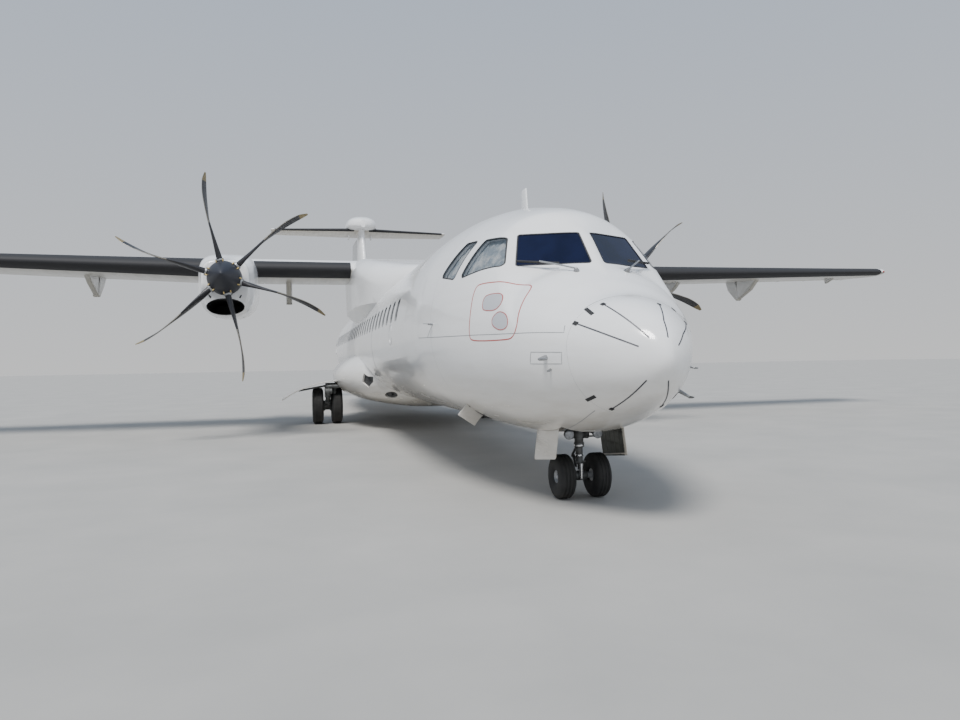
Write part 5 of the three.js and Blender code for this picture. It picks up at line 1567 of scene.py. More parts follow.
def door_tool(door, gap, radius):
    (front, back), (low, high) = door["stations"], door["heights"]
    side, lean, draft = door["side"], door["lean"], 0.12 if door["side"] < 0 and gap else 0.0
    low, high = low + gap * door["room"][0], high - gap * door["room"][1]
    corners = [Vector((side * 1.02, s + AFT, z)) for s, z in
               ((front + gap, low), (back - gap, low), (back - gap, high), (front + gap, high))]
    tool = pushed(rounded(corners, radius), (side, lean, 0), 0.45)
    centre = (front + back) / 2 + AFT
    for vertex in tool.data.vertices:
        if vertex.co.y > centre + 0.15:
            vertex.co.y -= draft * max(0.0, 1.5325 - abs(vertex.co.x))
    return tool


for door in DOORS.values():
    home, first, last = door["skin"]
    panel = walled(hull_tube((first, last, 0.03), 240), 0.046)
    door["panel"] = carve(panel, door_tool(door, GAP, 0.09), "INTERSECT")
    carve(skins[home], door_tool(door, 0.0, 0.1))
print("doors:", {name: len(door["panel"].data.polygons) for name, door in DOORS.items()})

# %% Door hinges
def rod_between(line, first, last, radius):
    start, end = Vector(line[0]), Vector(line[1])
    return rod(start.lerp(end, first), start.lerp(end, last), radius, sides=24)


KNUCKLE, GROOVE = 0.0215, 0.033
for door in DOORS.values():
    home, panel, line = skins[door["skin"][0]], door["panel"], door["hinge"]
    carve(home, rod_between(line, 0.16, 0.84, GROOVE))
    for first, last in ((0.0, 0.199), (0.801, 1.0)):
        carve(panel, rod_between(line, first - 0.03, last + 0.03, GROOVE + 0.001))
        carve(home, rod_between(line, first, last, KNUCKLE), "UNION")
    carve(panel, rod_between(line, 0.2, 0.8, KNUCKLE), "UNION")

# %% Cabin windows
FIRST_WINDOW, WINDOW_PITCH, WINDOW_COUNT = 5.04, 0.507, 29


def cabin_windows(by, side):
    """A tool for the whole row of windows on a side, each grown by so much."""
    tools = []
    for k in range(WINDOW_COUNT):
        station, wide, low, high = FIRST_WINDOW + WINDOW_PITCH * k, 0.125 + by, 1.99 - by, 2.33 + by
        corners = [spot(side * 1.3, s, z) for s, z in ((station - wide, low), (station + wide, low),
                                                       (station + wide, high), (station - wide, high))]
        tools.append(pushed(rounded(corners, 0.085 + by, 6), (side, 0, 0.12), 0.3))
    return joined(tools)


cabin_panes, cabin_frames = [], []
pane_belt, frame_belt = (walled(hull_tube((4.7, 19.6, 0.3), 240, inset), wall)
                         for inset, wall in ((0.012, 0.006), (-0.001, 0.02)))
for side in (1, -1):
    for home in ("forward_fuselage", "centre_fuselage", "aft_fuselage"):
        carve(skins[home], cabin_windows(0.0, side))
    cabin_panes.append(carve(copy_of(pane_belt), cabin_windows(-0.002, side), "INTERSECT"))
    frame_ring = carve(copy_of(frame_belt), cabin_windows(0.0, side), "INTERSECT")
    cabin_frames.append(carve(frame_ring, cabin_windows(-0.016, side)))
remove(pane_belt, frame_belt)
# The cabin window panes are opaque near-black glass: painted shade for the unlit cabin behind them. The door
# windows use it the same way, and the panel displays use it as their own dark glass.
window_shade_and_display_glass = glass("cabin glass painted shade", (0.02, 0.024, 0.032), 1.0)
frame_grey = satin("window frame", (0.30, 0.31, 0.32), (0.16, 0.16, 0.16), 0.35)
hand_over(cabin_panes, "cabin_window_panes", "flight_deck_glass", window_shade_and_display_glass)
hand_over(cabin_frames, "cabin_window_frames", "fuselage_paint", frame_grey)

# %% [markdown]
# The doors carry small fittings: a flush handle in its recess, and a round window in the two
# that people use. Each fitting rides on its door.

# %% Door fittings
def on_side(station, height, side):
    """A place on the hull's side and the direction that the skin faces there."""
    here = Vector(hull_at(station, height, side))
    ahead = Vector(hull_at(station + 0.05, height, side)) - here
    up = Vector(hull_at(station, height + 0.05, side)) - here
    out = ahead.cross(up).normalized()
    out = out if out.x * side > 0 else -out
    return here, out, ahead.normalized()


def round_trim(centre, out, radius, profile):
    """A profile of (radius, lift) spun round the direction that the skin faces."""
    piece = spun([(r * radius, lift) for r, lift in profile], "Z", 40)
    piece.data.transform(Matrix.Translation(centre) @ out.to_track_quat("Z", "Y").to_matrix().to_4x4())
    return piece


def handle(centre, out, along):
    up = out.cross(along)
    deselect()
    bpy.ops.mesh.primitive_cube_add(size=1)
    grip = bpy.context.object
    turn = Matrix((along, up, out)).transposed().to_4x4()
    grip.matrix_world = Matrix.Translation(centre + out * 0.004) @ turn
    grip.scale = (0.2, 0.045, 0.008)
    settle()
    edit(grip)
    pick("faces", lambda f: f.normal.dot(out) > 0.9)
    bpy.ops.mesh.inset(thickness=0.008, depth=-0.003)
    done()
    return soften(grip, 0.003, 2)


RIM = [(0.8, -0.004), (0.8, 0.004), (0.86, 0.006), (1, 0.002), (1.02, -0.006)]
ROUND_PANE = [(0, 0.0025), (0.7, 0.0025), (0.98, 0.001), (0.98, -0.01), (0, -0.01)]
for name, door in DOORS.items():
    fittings = [handle(*on_side(*door["handle"], door["side"]))]
    if "window" in door:
        place, out, _ = on_side(*door["window"], door["side"])
        fittings.append(round_trim(place, out, 0.11, RIM))
        hand_over(round_trim(place, out, 0.09, ROUND_PANE), f"{name}_window", "flight_deck_glass",
                  window_shade_and_display_glass, body=name)
    hand_over(door["panel"], f"{name}_skin", "fuselage_paint", hull_paint, name, body=name)
    hand_over(fittings, f"{name}_fittings", "fuselage_paint", frame_grey, body=name)

# %% [markdown]
# ## Inside
# What an open door or the windscreen shows: floors, bulkheads and the flight deck. Floors and
# bulkheads are sheets whose edges follow the wall's inner side.

# %% Floors and bulkheads
def floor_sheet(first, last, height):
    rows = []
    for station in np.linspace(first, last, 12):
        half = float(hull_at(station, height, 1, WALL)[0]) - 0.002
        rows.append([(x, station + AFT, height) for x in np.linspace(-half, half, 7)])
    return thickened(rolled(rows, closed=False), 0.03)


def bulkhead(station):
    ring = hull_point(station, around(96), WALL + 0.002)
    return pushed([Vector(point) for point in ring], (0, 1, 0), 0.012)


deck_door = block((-0.3, 0.3), (2.5 + AFT, 3.5 + AFT), (1.29, 2.95))
inside = [floor_sheet(0.96, 2.9, 1.289), floor_sheet(3.15, 5.68, 1.129), floor_sheet(17.02, 21.38, 1.159),
          carve(bulkhead(2.93), copy_of(deck_door)), carve(bulkhead(3.12), deck_door),
          *(bulkhead(station) for station in (0.94, 5.71, 16.98, 21.41))]
lining = cast_paint("cabin lining", (0.46, 0.47, 0.47), (0.30, 0.29, 0.27), 0.5)
hand_over(inside, "floors_and_bulkheads", "fuselage_paint", lining)

# %% Instrument panel
PANEL = [(1.33, 1.291), (1.33, 2.06), (1.50, 2.19), (1.86, 2.215), (1.87, 2.17), (1.76, 2.13), (1.70, 1.70),
         (1.70, 1.291)]
panel = plate([(s + AFT, z) for s, z in PANEL], (-1.0, 1.0), 0.012)
carve(panel, hull_tube((1.0, 3.0, 0.034), 128, WALL + 0.002, caps=True), "INTERSECT")
pedestal = plate([(1.70 + AFT, 1.291), (1.70 + AFT, 1.80), (2.10 + AFT, 1.74), (2.15 + AFT, 1.70),
                  (2.15 + AFT, 1.291)], (-0.13, 0.13), 0.015)
displays = [plate([(1.722 + AFT, 1.84), (1.736 + AFT, 2.02), (1.746 + AFT, 2.02), (1.732 + AFT, 1.84)],
                  (x - 0.095, x + 0.095), 0.003) for x in (-0.72, -0.46, -0.12, 0.12, 0.46, 0.72)]
controls = [rod(spot(x, 1.9, 1.76), spot(x, 1.93, 1.86), 0.008, sides=12) for x in (-0.05, -0.02, 0.03, 0.06)]
YOKE = [(-0.13, 1.80), (-0.13, 1.70), (0, 1.67), (0.13, 1.70), (0.13, 1.80)]
for x in (-0.43, 0.43):
    controls += [rod(spot(x, 1.74, 1.66), spot(x, 2.0, 1.70), 0.02, sides=20),
                 hose([spot(x + aside, 2.0, z) for aside, z in YOKE], 0.014)]
trim = satin("deck trim", (0.035, 0.037, 0.042), (0.10, 0.10, 0.10), 0.6)
hand_over([panel, pedestal], "instrument_panel_body", "deck_trim", trim, "instrument_panel")
hand_over(controls, "levers_and_yokes", "deck_trim", black_rubber)
hand_over(displays, "panel_displays", "deck_trim", window_shade_and_display_glass)

# %% [markdown]
# ## Pilots' seats
# Two seats on pedestals, cushioned in dark cloth. A cushion is a box rounded by subdivision,
# its faces crowned and its edge pulled in by a sewn seam, and it rests on a moulded shell.

# %% Cushions
def cushion(centre, size, crown, lean=0.0):
    deselect()
    bpy.ops.mesh.primitive_cube_add(size=1)
    pad = bpy.context.object
    pad.scale = size
    bpy.ops.object.transform_apply(scale=True)
    edit(pad, "SELECT")
    bpy.ops.mesh.bevel(offset=min(size) * 0.32, segments=2)
    bpy.ops.mesh.select_all(action="SELECT")
    bpy.ops.mesh.subdivide(number_cuts=2)
    done()
    thin = min(range(3), key=lambda k: size[k])
    wide = [k for k in range(3) if k != thin]
    for vertex in pad.data.vertices:
        u, v = (2 * vertex.co[k] / size[k] for k in wide)
        dome = max(0.0, 1 - u * u) * max(0.0, 1 - v * v)
        seam = max(0.0, 1 - abs(abs(u) - 0.62) / 0.07)
        vertex.co[thin] += math.copysign(crown * dome ** 0.6 - 0.006 * seam, vertex.co[thin])
    modify(pad, "SUBSURF", levels=2, render_levels=2)
    return moved(pad, centre, lean, "X")


def pilot_seat(side):
    x, front, back = side * 0.43, 2.16 + AFT, 2.62 + AFT
    pads = [cushion((x, (front + back) / 2 - 0.01, 1.70), (0.44, 0.42, 0.11), 0.012),
            cushion((x, back, 2.01), (0.43, 0.10, 0.60), 0.014, math.radians(-13)),
            cushion((x, back + 0.095, 2.42), (0.25, 0.075, 0.15), 0.01, math.radians(-13))]
    shell = [plate([(back - 0.02, 1.62), (back + 0.055, 1.62), (back + 0.15, 2.34), (back + 0.12, 2.34)],
                   (x - 0.2, x + 0.2), 0.01),
             slab((front + 0.03, back), (1.61, 1.645), (x - 0.21, x + 0.21), 0.01),
             plate([(front + 0.1, 1.291), (front + 0.14, 1.615), (back - 0.1, 1.615), (back - 0.06, 1.291)],
                   (x - 0.14, x + 0.14), 0.012)]
    for arm in (x - 0.215, x + 0.215):
        shell.append(slab((front + 0.1, back + 0.02), (1.86, 1.895), (arm - 0.02, arm + 0.02), 0.008))
    return pads, shell


# %% Woven seat cloth
def cloth(name, colour, thread):
    weave = Finish(name, Roughness=0.9)
    warp = (weave.x * 1900.0).sum("SINE") * (weave.z * 1900.0 + weave.y * 1900.0).sum("SINE")
    fuzz = weave.noise(220.0)
    weave.bump(warp * 0.5 + fuzz, 0.0008, 0.6)
    return weave.give(Base_Color=weave.mix(fuzz * 0.6 + warp * 0.15, colour, thread),
                      Roughness=fuzz * 0.1 + 0.82)


seat_cloth = cloth("seat cloth", (0.035, 0.045, 0.075), (0.10, 0.115, 0.15))
for side, label in ((1, "left"), (-1, "right")):
    pads, shell = pilot_seat(side)
    hand_over(shell, f"pilot_seat_{label}_shell", "deck_trim", trim, f"pilot_seat_{label}")
    for pad, part in zip(pads, ("base", "back", "headrest")):
        hand_over(pad, f"pilot_seat_{label}_{part}", "seat_cover", seat_cloth)

# %% [markdown]
# Pale curtains are drawn behind the side windows. A curtain is one open sheet that follows the
# wall a few centimetres inside it, with waves along the fuselage for its folds. It gets a
# cloth's thickness, and a grown window outline cuts it to size. The folds are modelled, not
# simulated, because they hang between the same two rails all the time.

# %% Curtains
curtain_cloth = Finish("curtain cloth", Roughness=0.9)
crinkle_shade = curtain_cloth.noise(9.0, detail=6.0)
curtain_cloth.bump(crinkle_shade * 0.6 + curtain_cloth.noise(60.0) * 0.4, 0.004, 0.5)
# Where the crinkles sink, the cloth turns darker and bluer: painted shade in the creases.
curtain_cloth = curtain_cloth.give(
    Base_Color=curtain_cloth.mix(crinkle_shade.between(0.42, 0.62), (0.34, 0.40, 0.45), (0.72, 0.74, 0.74)))
stations = np.linspace(1.68, 2.93, 168)
angles = np.radians(np.linspace(27, 71, 24))
folds = 0.007 * np.sin(stations * 105 + 1.6 * np.sin(stations * 17))
sheet = rolled(hull_point(stations[:, None], angles[None, :], WALL + 0.014 + folds[:, None]), closed=False)
modify(sheet, "SOLIDIFY", thickness=0.0015, offset=0)
for name in ("side_window", "rear_window"):
    curtain = carve(copy_of(sheet), window_tool(name, 0.03), "INTERSECT")
    area = sum(face.area for face in curtain.data.polygons) / 2
    print(name, "curtain:", round(area, 3), "square metres")
    for piece in hand_over_pair(curtain, name + "_{}_curtain", "seat_cover", curtain_cloth, angle=70):
        area / 0.75 / 0.5
remove(sheet)

# %% [markdown]
# ## Nose wheel bay
# The open doors show a bay that the leg folds up into, painted near-black as painted shade. The opening is
# cut through the nose skin, and a box that is open below, with stiffening ribs on its walls, lines it.

# %% Cut and line the bay
BAY_X, BAY_Y, BAY_TOP = (-0.365, 0.365), (1.36 + AFT, 2.2 + AFT), 1.21
carve(skins["nose_shell"], block(BAY_X, BAY_Y, (0.4, BAY_TOP)))
bay_liner = block(BAY_X, BAY_Y, (0.86, BAY_TOP))
edit(bay_liner)
pick("faces", lambda f: f.normal.z < -0.9)
bpy.ops.mesh.delete(type="FACE")
done()
modify(bay_liner, "SOLIDIFY", thickness=0.012, offset=1)
ribs = [block((side * 0.35, side * 0.365), (y - 0.01, y + 0.01), (0.87, BAY_TOP - 0.01))
        for y in np.linspace(BAY_Y[0] + 0.12, BAY_Y[1] - 0.12, 5) for side in (1, -1)]
# Near-black: painted shade for the unlit bay. The belly inlet cups use it too.
bay_painted_shade = cast_paint("wheel bay painted shade", (0.045, 0.047, 0.05), (0.015, 0.014, 0.013), 0.7)
bay_pipes = [hose([(x, BAY_Y[0] + 0.02, 1.12), (x * 0.9, 1.7 + AFT, 1.16), (x, BAY_Y[1] - 0.02, 1.10)], 0.011)
             for x in (-0.24, -0.2, 0.22)]
hand_over([bay_liner, *ribs, *bay_pipes], "nose_wheel_bay_liner", "gear_paint", bay_painted_shade)

# %% Hand over the skins
for name, skin in skins.items():
    looks = ("composite_paint", composite_paint) if name == "radome" else ("fuselage_paint", hull_paint)
    hand_over(skin, f"{name}_skin", *looks, name)

# %% [markdown]
# ## Lines and fittings on the nose
# Thin things lie on the skin: metal strips that carry lightning off the radome, seams, painted
# outlines. Each is a narrow band: a grid along a line of places, every row laid on the hull's
# own surface and then closed into a strip. A patch is the same between four corners.

# %% Bands and patches on the hull
def on_hull(place, lift=0.0):
    across, station, height = place
    angle = math.atan2(across, height - float(middle(station)))
    return Vector(hull_point(max(station, 0.004), angle, -lift))


def walk(places, step):
    """Even steps along a line of places."""
    places = [Vector(place) for place in places]
    found = [places[0]]
    for start, end in zip(places, places[1:]):
        count = max(1, round((end - start).length / step))
        found += [start.lerp(end, (k + 1) / count) for k in range(count)]
    return found


def strip(places, width, lift=0.0025, step=0.03):
    path = [on_hull(place) for place in walk(places, step)]
    rows = []
    for k, here in enumerate(path):
        along = path[min(k + 1, len(path) - 1)] - path[max(k - 1, 0)]
        station = here.y - AFT
        out = here - Vector((0, here.y + 0.35, float(middle(station))))
        side = along.cross(out).normalized() * width / 2
        edges = [(p.x, p.y - AFT, p.z) for p in (here - side, here + side)]
        rows.append([on_hull(edges[0], -0.003), on_hull(edges[0], lift), on_hull(edges[1], lift),
                     on_hull(edges[1], -0.003)])
    return rolled(rows, caps=True)


def smooth_loop(places):
    """A closed outline with its corners cut twice, so that it curves."""
    places = [Vector(place) for place in places]
    for _ in range(2):
        places = [a.lerp(b, t) for a, b in zip(places, places[1:] + places[:1]) for t in (0.25, 0.75)]
    return places


def disc(loop):
    """The inside of an outline, laid on the hull as rings that shrink to its middle."""
    centre, lift = centre_of(loop), 0.002
    return rolled([[on_hull(centre.lerp(Vector(place), share), up) for place in loop] for share, up in (
        (1.0, -0.003), (1.0, lift), (0.98, lift), (0.66, lift), (0.33, lift), (0.05, lift))], caps=True)


def patch(corners, lift):
    a, b, c, d = (Vector(corner) for corner in corners)
    shares = np.linspace(0, 1, 8)
    sheet = rolled([[on_hull(a.lerp(b, u).lerp(d.lerp(c, u), v), lift) for u in shares] for v in shares],
                   closed=False)
    centre = on_hull((a + b + c + d) / 4)
    out = centre - Vector((0, centre.y, float(middle(centre.y - AFT))))
    inwards = -1 if sheet.data.polygons[0].normal.dot(out) > 0 else 1
    modify(sheet, "SOLIDIFY", thickness=lift + 0.003, offset=inwards)
    return soften(sheet, 0.0012, 2)


# %% [markdown]
# The radome's lightning strips run back from near its tip. Short black wedges beside its edge
# let it be opened, and thin sealant lines mark the panels behind it.

# %% Radome strips and seams
LIGHTNING = [
    ((-0.508, 0.579, 1.708), (-0.19, 0.112, 1.503)), ((-0.28, 0.537, 1.865), (-0.114, 0.082, 1.571)),
    ((0.181, 0.448, 1.86), (0.063, 0.166, 1.706), (0.029, 0.046, 1.569)),
    ((0.489, 0.555, 1.711), (0.257, 0.208, 1.603), (0.133, 0.07, 1.506)),
    ((-0.218, 0.543, 0.994), (-0.124, 0.118, 1.236)), ((0.252, 0.55, 0.99), (0.05, 0.088, 1.23)),
]
WEDGES = [((-0.407, 0.637, 1.842), (-0.394, 0.521, 1.784)), ((0.45, 0.702, 1.849), (0.4, 0.6, 1.81)),
          ((-0.41, 0.646, 1.064), (-0.38, 0.536, 1.101)), ((0.41, 0.646, 1.064), (0.38, 0.536, 1.101))]
feet = [strip((Vector(line[0]).lerp(Vector(line[1]), -0.09), line[0]), 0.035, 0.006) for line in LIGHTNING]
feet += [strip(line, 0.032, 0.004) for line in WEDGES]
arc = [(0.62 * math.sin(a), 0.662 - 0.02 * abs(a), 1.5 + 0.45 * math.cos(a))
       for a in np.linspace(-0.72, 0.72, 25)]
seams = [strip(arc, 0.006, 0.0012), strip([(-0.294, 1.5, 0.76), (-0.311, 0.704, 0.968)], 0.006, 0.0012)]
side_seams = [strip(places, 0.006, 0.0012) for places in (
    [(-1.393, 3.339, 1.702), (-1.06, 1.75, 1.67), (-0.6, 0.663, 1.64), (-0.582, 0.681, 1.701)],
    [(-1.338, 3.013, 1.693), (-1.338, 2.9, 1.78), (-1.312, 2.809, 1.84)],
    [(-1.34, 3.16, 1.86), (-1.312, 2.809, 1.84)])]
side_seams.append(strip([(-1.42, 8.17, 2.03), (-1.42, 8.19, 1.63), (-1.15, 8.6, 1.13)], 0.01, 0.0015))
strip_metal = metal("lightning strips", (0.16, 0.16, 0.17), (0.07, 0.07, 0.08), 0.45)
hand_over([strip(line, 0.012) for line in LIGHTNING], "radome_lightning_strips", "composite_paint",
          strip_metal)
hand_over(feet, "radome_strip_feet", "composite_paint", black_rubber)
hand_over([*seams, both(side_seams)], "nose_seams", "fuselage_paint", rubber("sealant", (0.20, 0.21, 0.22)))

# %% Static port outline, plates and probes
OUTLINE = [(-1.038, 1.93, 2.15), (-0.999, 1.844, 2.185), (-0.829, 1.533, 2.16), (-0.68, 1.36, 2.13),
           (-0.655, 1.27, 2.09), (-0.767, 1.221, 1.963), (-0.821, 1.191, 1.864), (-0.861, 1.143, 1.705),
           (-0.891, 1.191, 1.617), (-0.927, 1.293, 1.603), (-1.096, 1.856, 1.61), (-1.118, 1.922, 1.655),
           (-1.102, 1.91, 1.887)]
COVERS = [[(-1.03, 1.718, 1.923), (-1.016, 1.736, 2.008), (-0.987, 1.706, 2.058), (-0.914, 1.533, 2.061),
           (-0.888, 1.461, 2.031), (-0.914, 1.425, 1.955), (-0.96, 1.497, 1.889), (-1.016, 1.664, 1.9)],
          [(-0.985, 1.53, 1.79), (-0.975, 1.51, 1.84), (-0.94, 1.431, 1.88), (-0.908, 1.317, 1.844),
           (-0.906, 1.27, 1.77), (-0.919, 1.281, 1.71), (-0.955, 1.383, 1.694), (-0.988, 1.503, 1.741)]]
OUTLINE, *COVERS = (smooth_loop(loop) for loop in (OUTLINE, *COVERS))
outlines = [strip([*OUTLINE, OUTLINE[0]], 0.012, 0.001)]
outlines += [strip([*cover, cover[0]], 0.008, 0.003, 0.02) for cover in COVERS]
red_paint = satin("red outline", (0.42, 0.06, 0.05), (0.5, 0.2, 0.17), 0.4)
hand_over(outlines, "static_port_outlines", "fuselage_paint", red_paint)
cover_grey = satin("cover plates", (0.50, 0.52, 0.56), (0.40, 0.41, 0.43), 0.35, 12.0)
hand_over([disc(cover) for cover in COVERS], "static_port_covers", "fuselage_paint", cover_grey)
plates = [strip([(-0.801, 0.972, 1.482), (-0.619, 0.668, 1.474), (-0.615, 0.684, 1.376),
                 (-0.793, 1.002, 1.38), (-0.801, 0.972, 1.482)], 0.007, 0.0015),
          strip(rounded([(-1.42, 5.42, 1.98), (-1.42, 5.66, 1.98), (-1.42, 5.66, 1.69),
                         (-1.42, 5.42, 1.69)], 0.1), 0.012)]
plate_metal = metal("plate metal", (0.62, 0.63, 0.64), (0.46, 0.47, 0.47), 0.4)
hand_over(both(plates), "probe_plates", "fuselage_paint", plate_metal)


def probe(foot, tip_back, length, radius, tall):
    """An air data probe: a swept mast off the skin and a tube that points ahead."""
    start = on_hull(foot, -0.004)
    out = start - Vector((0, start.y + 0.3, float(middle(foot[1]))))
    top = start + out.normalized() * tall + Vector((0, -tip_back, 0))
    mast = rod(start, top, radius * 1.7, radius * 1.1, sides=20)
    tube = turned(top + Vector((0, 0.02, 0)), top + Vector((0, -length, 0)), [
        (0, radius * 0.8), (0.1, radius * 1.1), (0.6, radius), (0.95, radius * 0.6), (1, radius * 0.45)], 20)
    return [mast, tube]


paired = [*probe((-0.68, 0.81, 1.325), 0.02, 0.05, 0.007, 0.045),
          *probe((-1.3, 2.83, 1.835), 0.0, 0.05, 0.009, 0.05)]
probes = [*probe((-0.70, 0.83, 1.435), 0.05, 0.19, 0.013, 0.1),
          *probe((0.53, 0.80, 1.13), 0.03, 0.07, 0.011, 0.1)]
hand_over([both(paired), *probes], "air_data_probes", "engine_metal", grey_metal)

# %% [markdown]
# Each screen has a wiper parked along its lower edge: a dark blade in a spring clip, and a
# pale arm down to its pivot on the nose.

# %% Wipers
wiper_blades, wiper_arms = [], []
for side, first, last, pivot in ((-1, (0.70, 1.62, 2.36), (0.36, 1.36, 2.31), (0.254, 1.197, 2.236)),
                                 (1, (0.70, 1.62, 2.365), (0.34, 1.36, 2.35), (0.262, 1.209, 2.241))):
    flip = Vector((side, 1, 1))
    out = Vector(pane_normal) * flip
    first, last = (spot(*place) * flip + out * 0.03 for place in (first, last))
    base_point = spot(*pivot) * flip
    wiper_blades += [rod(first, last, 0.008, 0.011, sides=12),
                     rod(first - out * 0.014, last - out * 0.014, 0.004, 0.006, sides=12)]
    clip = first.lerp(last, 0.55)
    wiper_arms += [hose([clip + out * 0.012, clip.lerp(base_point, 0.5) + out * 0.03,
                         base_point + out * 0.035], 0.0085),
                   turned(base_point - out * 0.01, base_point + out * 0.045,
                          [(0, 0.03), (0.3, 0.028), (0.6, 0.02), (1, 0.012)], 24)]
hand_over(wiper_blades, "wiper_blades", "deck_trim", black_rubber)
hand_over(wiper_arms, "wiper_arms", "engine_metal", grey_metal)

# %% Aerials
def blade_aerial(station, height, chord, sweep, under=False, taper=0.55):
    """A thin swept fin on the hull's centre line."""
    sign = -1 if under else 1
    foot = float(keel(math.sqrt(station)) if under else roof(math.sqrt(station))) - 0.02 * sign
    outline = [(station + AFT, foot), (station + AFT + sweep, foot + sign * height),
               (station + AFT + sweep + chord * taper, foot + sign * height),
               (station + AFT + chord * 1.1, foot)]
    return plate(outline, (-0.011, 0.011), 0.008)


aerials = [blade_aerial(3.33, 0.33, 0.19, 0.05, taper=0.9), blade_aerial(7.4, 0.22, 0.24, 0.1),
           blade_aerial(18.2, 0.26, 0.26, 0.12),
           blade_aerial(6.8, 0.2, 0.22, 0.1, True), blade_aerial(16.4, 0.22, 0.24, 0.1, True)]
hand_over(aerials, "blade_aerials", "composite_paint", composite_paint)

# %% Ground power panel
recess = patch([(-0.60, 2.88, 0.78), (-0.60, 3.25, 0.78), (-0.80, 3.25, 0.88), (-0.80, 2.88, 0.88)], 0.003)
top_edge = on_hull((-0.908, 2.86, 0.95)), on_hull((-0.705, 2.92, 0.818))
hang = Vector((-0.113, -0.03, -0.117))
deselect()
bpy.ops.mesh.primitive_grid_add(x_subdivisions=6, y_subdivisions=4, size=1)
flap_door = bpy.context.object
for vertex in flap_door.data.vertices:
    u, v = vertex.co.x + 0.5, vertex.co.y + 0.5
    vertex.co = top_edge[0].lerp(top_edge[1], u) + hang * v + Vector((-0.006, 0, 0)) * math.sin(math.pi * v)
modify(flap_door, "SOLIDIFY", thickness=0.012, offset=0)
soften(flap_door, 0.006)
socket_place = on_hull((-0.70, 3.06, 0.83))
socket_out = (socket_place - Vector((0, socket_place.y, 1.8))).normalized()
power_socket = turned(socket_place - socket_out * 0.01, socket_place + socket_out * 0.03,
                      [(0, 0.06), (0.7, 0.06), (1, 0.045)])
lugs = [rod(top_edge[0].lerp(top_edge[1], t), top_edge[0].lerp(top_edge[1], t + 0.12), 0.011, sides=16)
        for t in (0.12, 0.76)]
hand_over(flap_door, "ground_power_door", "fuselage_paint", composite_paint)
hand_over([recess, power_socket, *lugs], "ground_power_socket", "engine_metal", black_rubber)

# %% [markdown]
# ## Engines
# A turboprop is a stack of round cases: reduction gearbox, compressor, combustor and a bent jet
# pipe that leaves the pod behind the wing. Only glimpses of it show, so its profile is spun.

# %% Engine cores and jet pipes
engine_core = [
    turned(spot(4.05, 9.53, 3.0), spot(4.05, 11.45, 2.97), [
        (0, 0.12), (0.02, 0.16), (0.16, 0.165), (0.18, 0.21), (0.3, 0.225),
        *band(0.225, 0.36, 0.01, 0.012), (0.45, 0.23), (0.5, 0.25), *band(0.25, 0.62, 0.012, 0.01),
        (0.75, 0.25), (0.82, 0.22), (0.95, 0.2), (1, 0.16)], 64),
    turned(spot(4.05, 9.75, 2.8), spot(4.05, 10.3, 2.8), [(0, 0.06), (0.08, 0.085), (0.9, 0.085), (1, 0.06)]),
]
exhaust = turned(*JET_PIPE, [(0, 0.14), (0.02, 0.15), (0.93, 0.15), (0.95, 0.155), (1, 0.155)], 56)
bore_start = JET_PIPE[0].lerp(JET_PIPE[1], 0.4)
carve(exhaust, rod(bore_start, JET_PIPE[0].lerp(JET_PIPE[1], 1.1), 0.132, sides=56))
burnt_metal = metal("burnt metal", (0.20, 0.17, 0.14), (0.05, 0.045, 0.04), 0.45, 20.0)
hand_over_pair([*engine_core, exhaust], "engine_{}_core", "engine_metal", burnt_metal, "engine_{}")

# %% [markdown]
# ## Small fittings
# Cups behind the belly inlets, dark as painted shade for the unlit ducts, lamps at the wing tips and tail,
# and the thin rods that let static electricity leak off the trailing edges.

# %% Belly inlet cups
cups = []
for outline, out in INLETS:
    centre, out = centre_of(outline), out.normalized()
    cups.append(pushed([centre + (point - centre) * 0.985 - out * 0.05 for point in outline], out, 0.012))
    cups += [rod(centre - out * 0.05 + shift, centre - out * 0.005 + shift, 0.02, 0.012, sides=16)
             for shift in (Vector((0, 0.02, 0.02)), Vector((0, -0.03, -0.015)))]
# The cups are painted near-black: painted shade inside the inlets.
hand_over(both(cups), "belly_inlet_cups", "engine_metal", bay_painted_shade)

# %% Lamps at the wing tips and tail
def lamp_glass(name, colour):
    lamp = Finish(name, Roughness=0.06, Coat_Weight=0.6)
    lamp.bump((lamp.z * 500.0).sum("SINE"), 0.0008, 0.4)
    return lamp.give(Base_Color=lamp.mix(lamp.noise(40.0), scaled(colour, 0.4), colour),
                     Roughness=lamp.noise(60.0) * 0.1 + 0.05)


tip_station, _, tip_height, _ = wing_row(13.38)
for side, label, colour in ((1, "left", (0.5, 0.02, 0.02)), (-1, "right", (0.02, 0.35, 0.12))):
    start = Vector((side * 13.38, tip_station + AFT - 0.03, tip_height))
    lamp = turned(start + Vector((0, 0.11, 0)), start, [(0, 0.02), (0.3, 0.03), (0.7, 0.027), (0.9, 0.016)],
                  28)
    hand_over(lamp, f"wing_tip_lamp_{label}", "wing_paint", lamp_glass(f"{label} lamp", colour))
cone_tip = float(middle(TAIL_TIP))
tail_lamp = turned((0, 13.46, cone_tip), (0, 13.5825, cone_tip),
                   [(0, 0.045), (0.5, 0.058), (0.8, 0.055), (0.95, 0.045), (1, 0.03)])
hand_over(tail_lamp, "tail_lamp", "composite_paint", lamp_glass("white lamp", (0.7, 0.7, 0.68)))

# %% Static dischargers
def discharger(x, length):
    station, chord, height, _ = wing_row(x)
    start = spot(x, station + chord * math.cos(INCIDENCE) - 0.01, height - chord * math.sin(INCIDENCE))
    return joined([rod(start, start + Vector((0, length, -0.012)), 0.0028, 0.0015, sides=8),
                   rod(start, start + Vector((0, 0.035, -0.003)), 0.006, 0.0045, sides=8)])


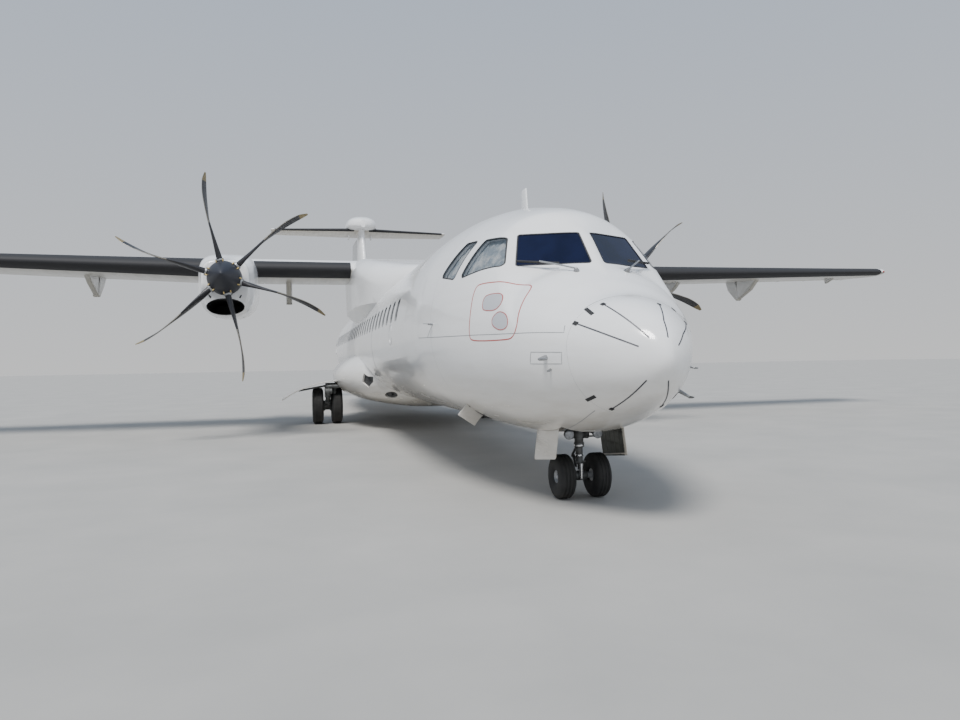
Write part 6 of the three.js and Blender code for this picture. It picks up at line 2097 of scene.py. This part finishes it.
hand_over_pair([discharger(x, 0.13) for x in (11.2, 12.1, 12.95)], "aileron_{}_dischargers", "tyre",
               black_rubber, body="aileron_{}")
hand_over(both([discharger(x, 0.1) for x in (13.25, 13.4)]), "wing_tip_dischargers", "tyre", black_rubber)

# %% [markdown]
# ## Floor, light and camera
# A pale floor and soft light from wide suns, as under studio softboxes. The camera stands where
# the photograph was taken: low ahead of the right wing, looking back along the fuselage.

# %% Camera
yaw, pitch, roll = (math.radians(angle) for angle in (14.66, 0.22, -1.005))
ahead = Vector((math.sin(yaw) * math.cos(pitch), math.cos(yaw) * math.cos(pitch), math.sin(pitch)))
right = Vector((math.cos(yaw), -math.sin(yaw), 0))
up = right.cross(ahead)
right, up = right * math.cos(roll) + up * math.sin(roll), up * math.cos(roll) - right * math.sin(roll)
lens = bpy.data.cameras.new("photo camera")
lens.sensor_width = 36
lens.lens = 26.68
lens.clip_end = 500
camera = bpy.data.objects.new("photo camera", lens)
bpy.context.scene.collection.objects.link(camera)
camera.matrix_world = Matrix.Translation((-2.817, -18.569, 1.397)) @ Matrix((
    (right.x, up.x, -ahead.x), (right.y, up.y, -ahead.y), (right.z, up.z, -ahead.z))).to_4x4()
bpy.context.scene.camera = camera
print("camera looks along", [round(c, 3) for c in ahead])

# %% Floor
deselect()
bpy.ops.mesh.primitive_plane_add(size=400, location=(0, 0, -0.002))
floor = settle()
floor.name = "floor"
paving = Finish("floor", Roughness=0.8)
mottle = paving.noise(0.8)
paving.bump(paving.noise(30.0), 0.002, 0.2)
floor.data.materials.append(paving.give(
    Base_Color=paving.mix(mottle.between(0.3, 0.7), (0.34, 0.335, 0.32), (0.39, 0.38, 0.36))))

# %% Wide suns
def soft_sun(name, towards, spread, strength, colour):
    """Light from one direction, as wide as a softbox: the spread is its angle across."""
    light = bpy.data.lights.new(name, "SUN")
    light.angle = math.radians(spread)
    light.energy = strength
    light.color = colour
    holder = bpy.data.objects.new(name, light)
    bpy.context.scene.collection.objects.link(holder)
    holder.matrix_world = Vector(towards).to_track_quat("-Z", "Y").to_matrix().to_4x4()
    return holder


soft_sun("key", (0.28, 0.46, -0.84), 20, 4.4, (1.0, 0.98, 0.95))
soft_sun("fill", (-0.6, 0.7, -0.3), 70, 0.5, (0.95, 0.97, 1.0))

# %% Studio sky
world = bpy.data.worlds.new("studio")
bpy.context.scene.world = world
world.use_nodes = True
sky = world.node_tree
background = sky.nodes["Background"]
place = sky.nodes.new("ShaderNodeTexCoord")
parts = sky.nodes.new("ShaderNodeSeparateXYZ")
shade = sky.nodes.new("ShaderNodeValToRGB")
shade.color_ramp.elements[0].position = 0.50
shade.color_ramp.elements[0].color = (0.74, 0.745, 0.75, 1)
shade.color_ramp.elements[1].position = 0.85
shade.color_ramp.elements[1].color = (0.42, 0.53, 0.70, 1)
lift = sky.nodes.new("ShaderNodeMapRange")
lift.inputs["From Min"].default_value = -1.0
sky.links.new(place.outputs["Generated"], parts.inputs[0])
sky.links.new(parts.outputs[2], lift.inputs[0])
sky.links.new(lift.outputs[0], shade.inputs[0])
sky.links.new(shade.outputs[0], background.inputs[0])
background.inputs[1].default_value = 1.0

# %% [markdown]
# ## Finish
# The number of finished pieces is printed.

# %% Count of pieces
print("pieces:", len(made))
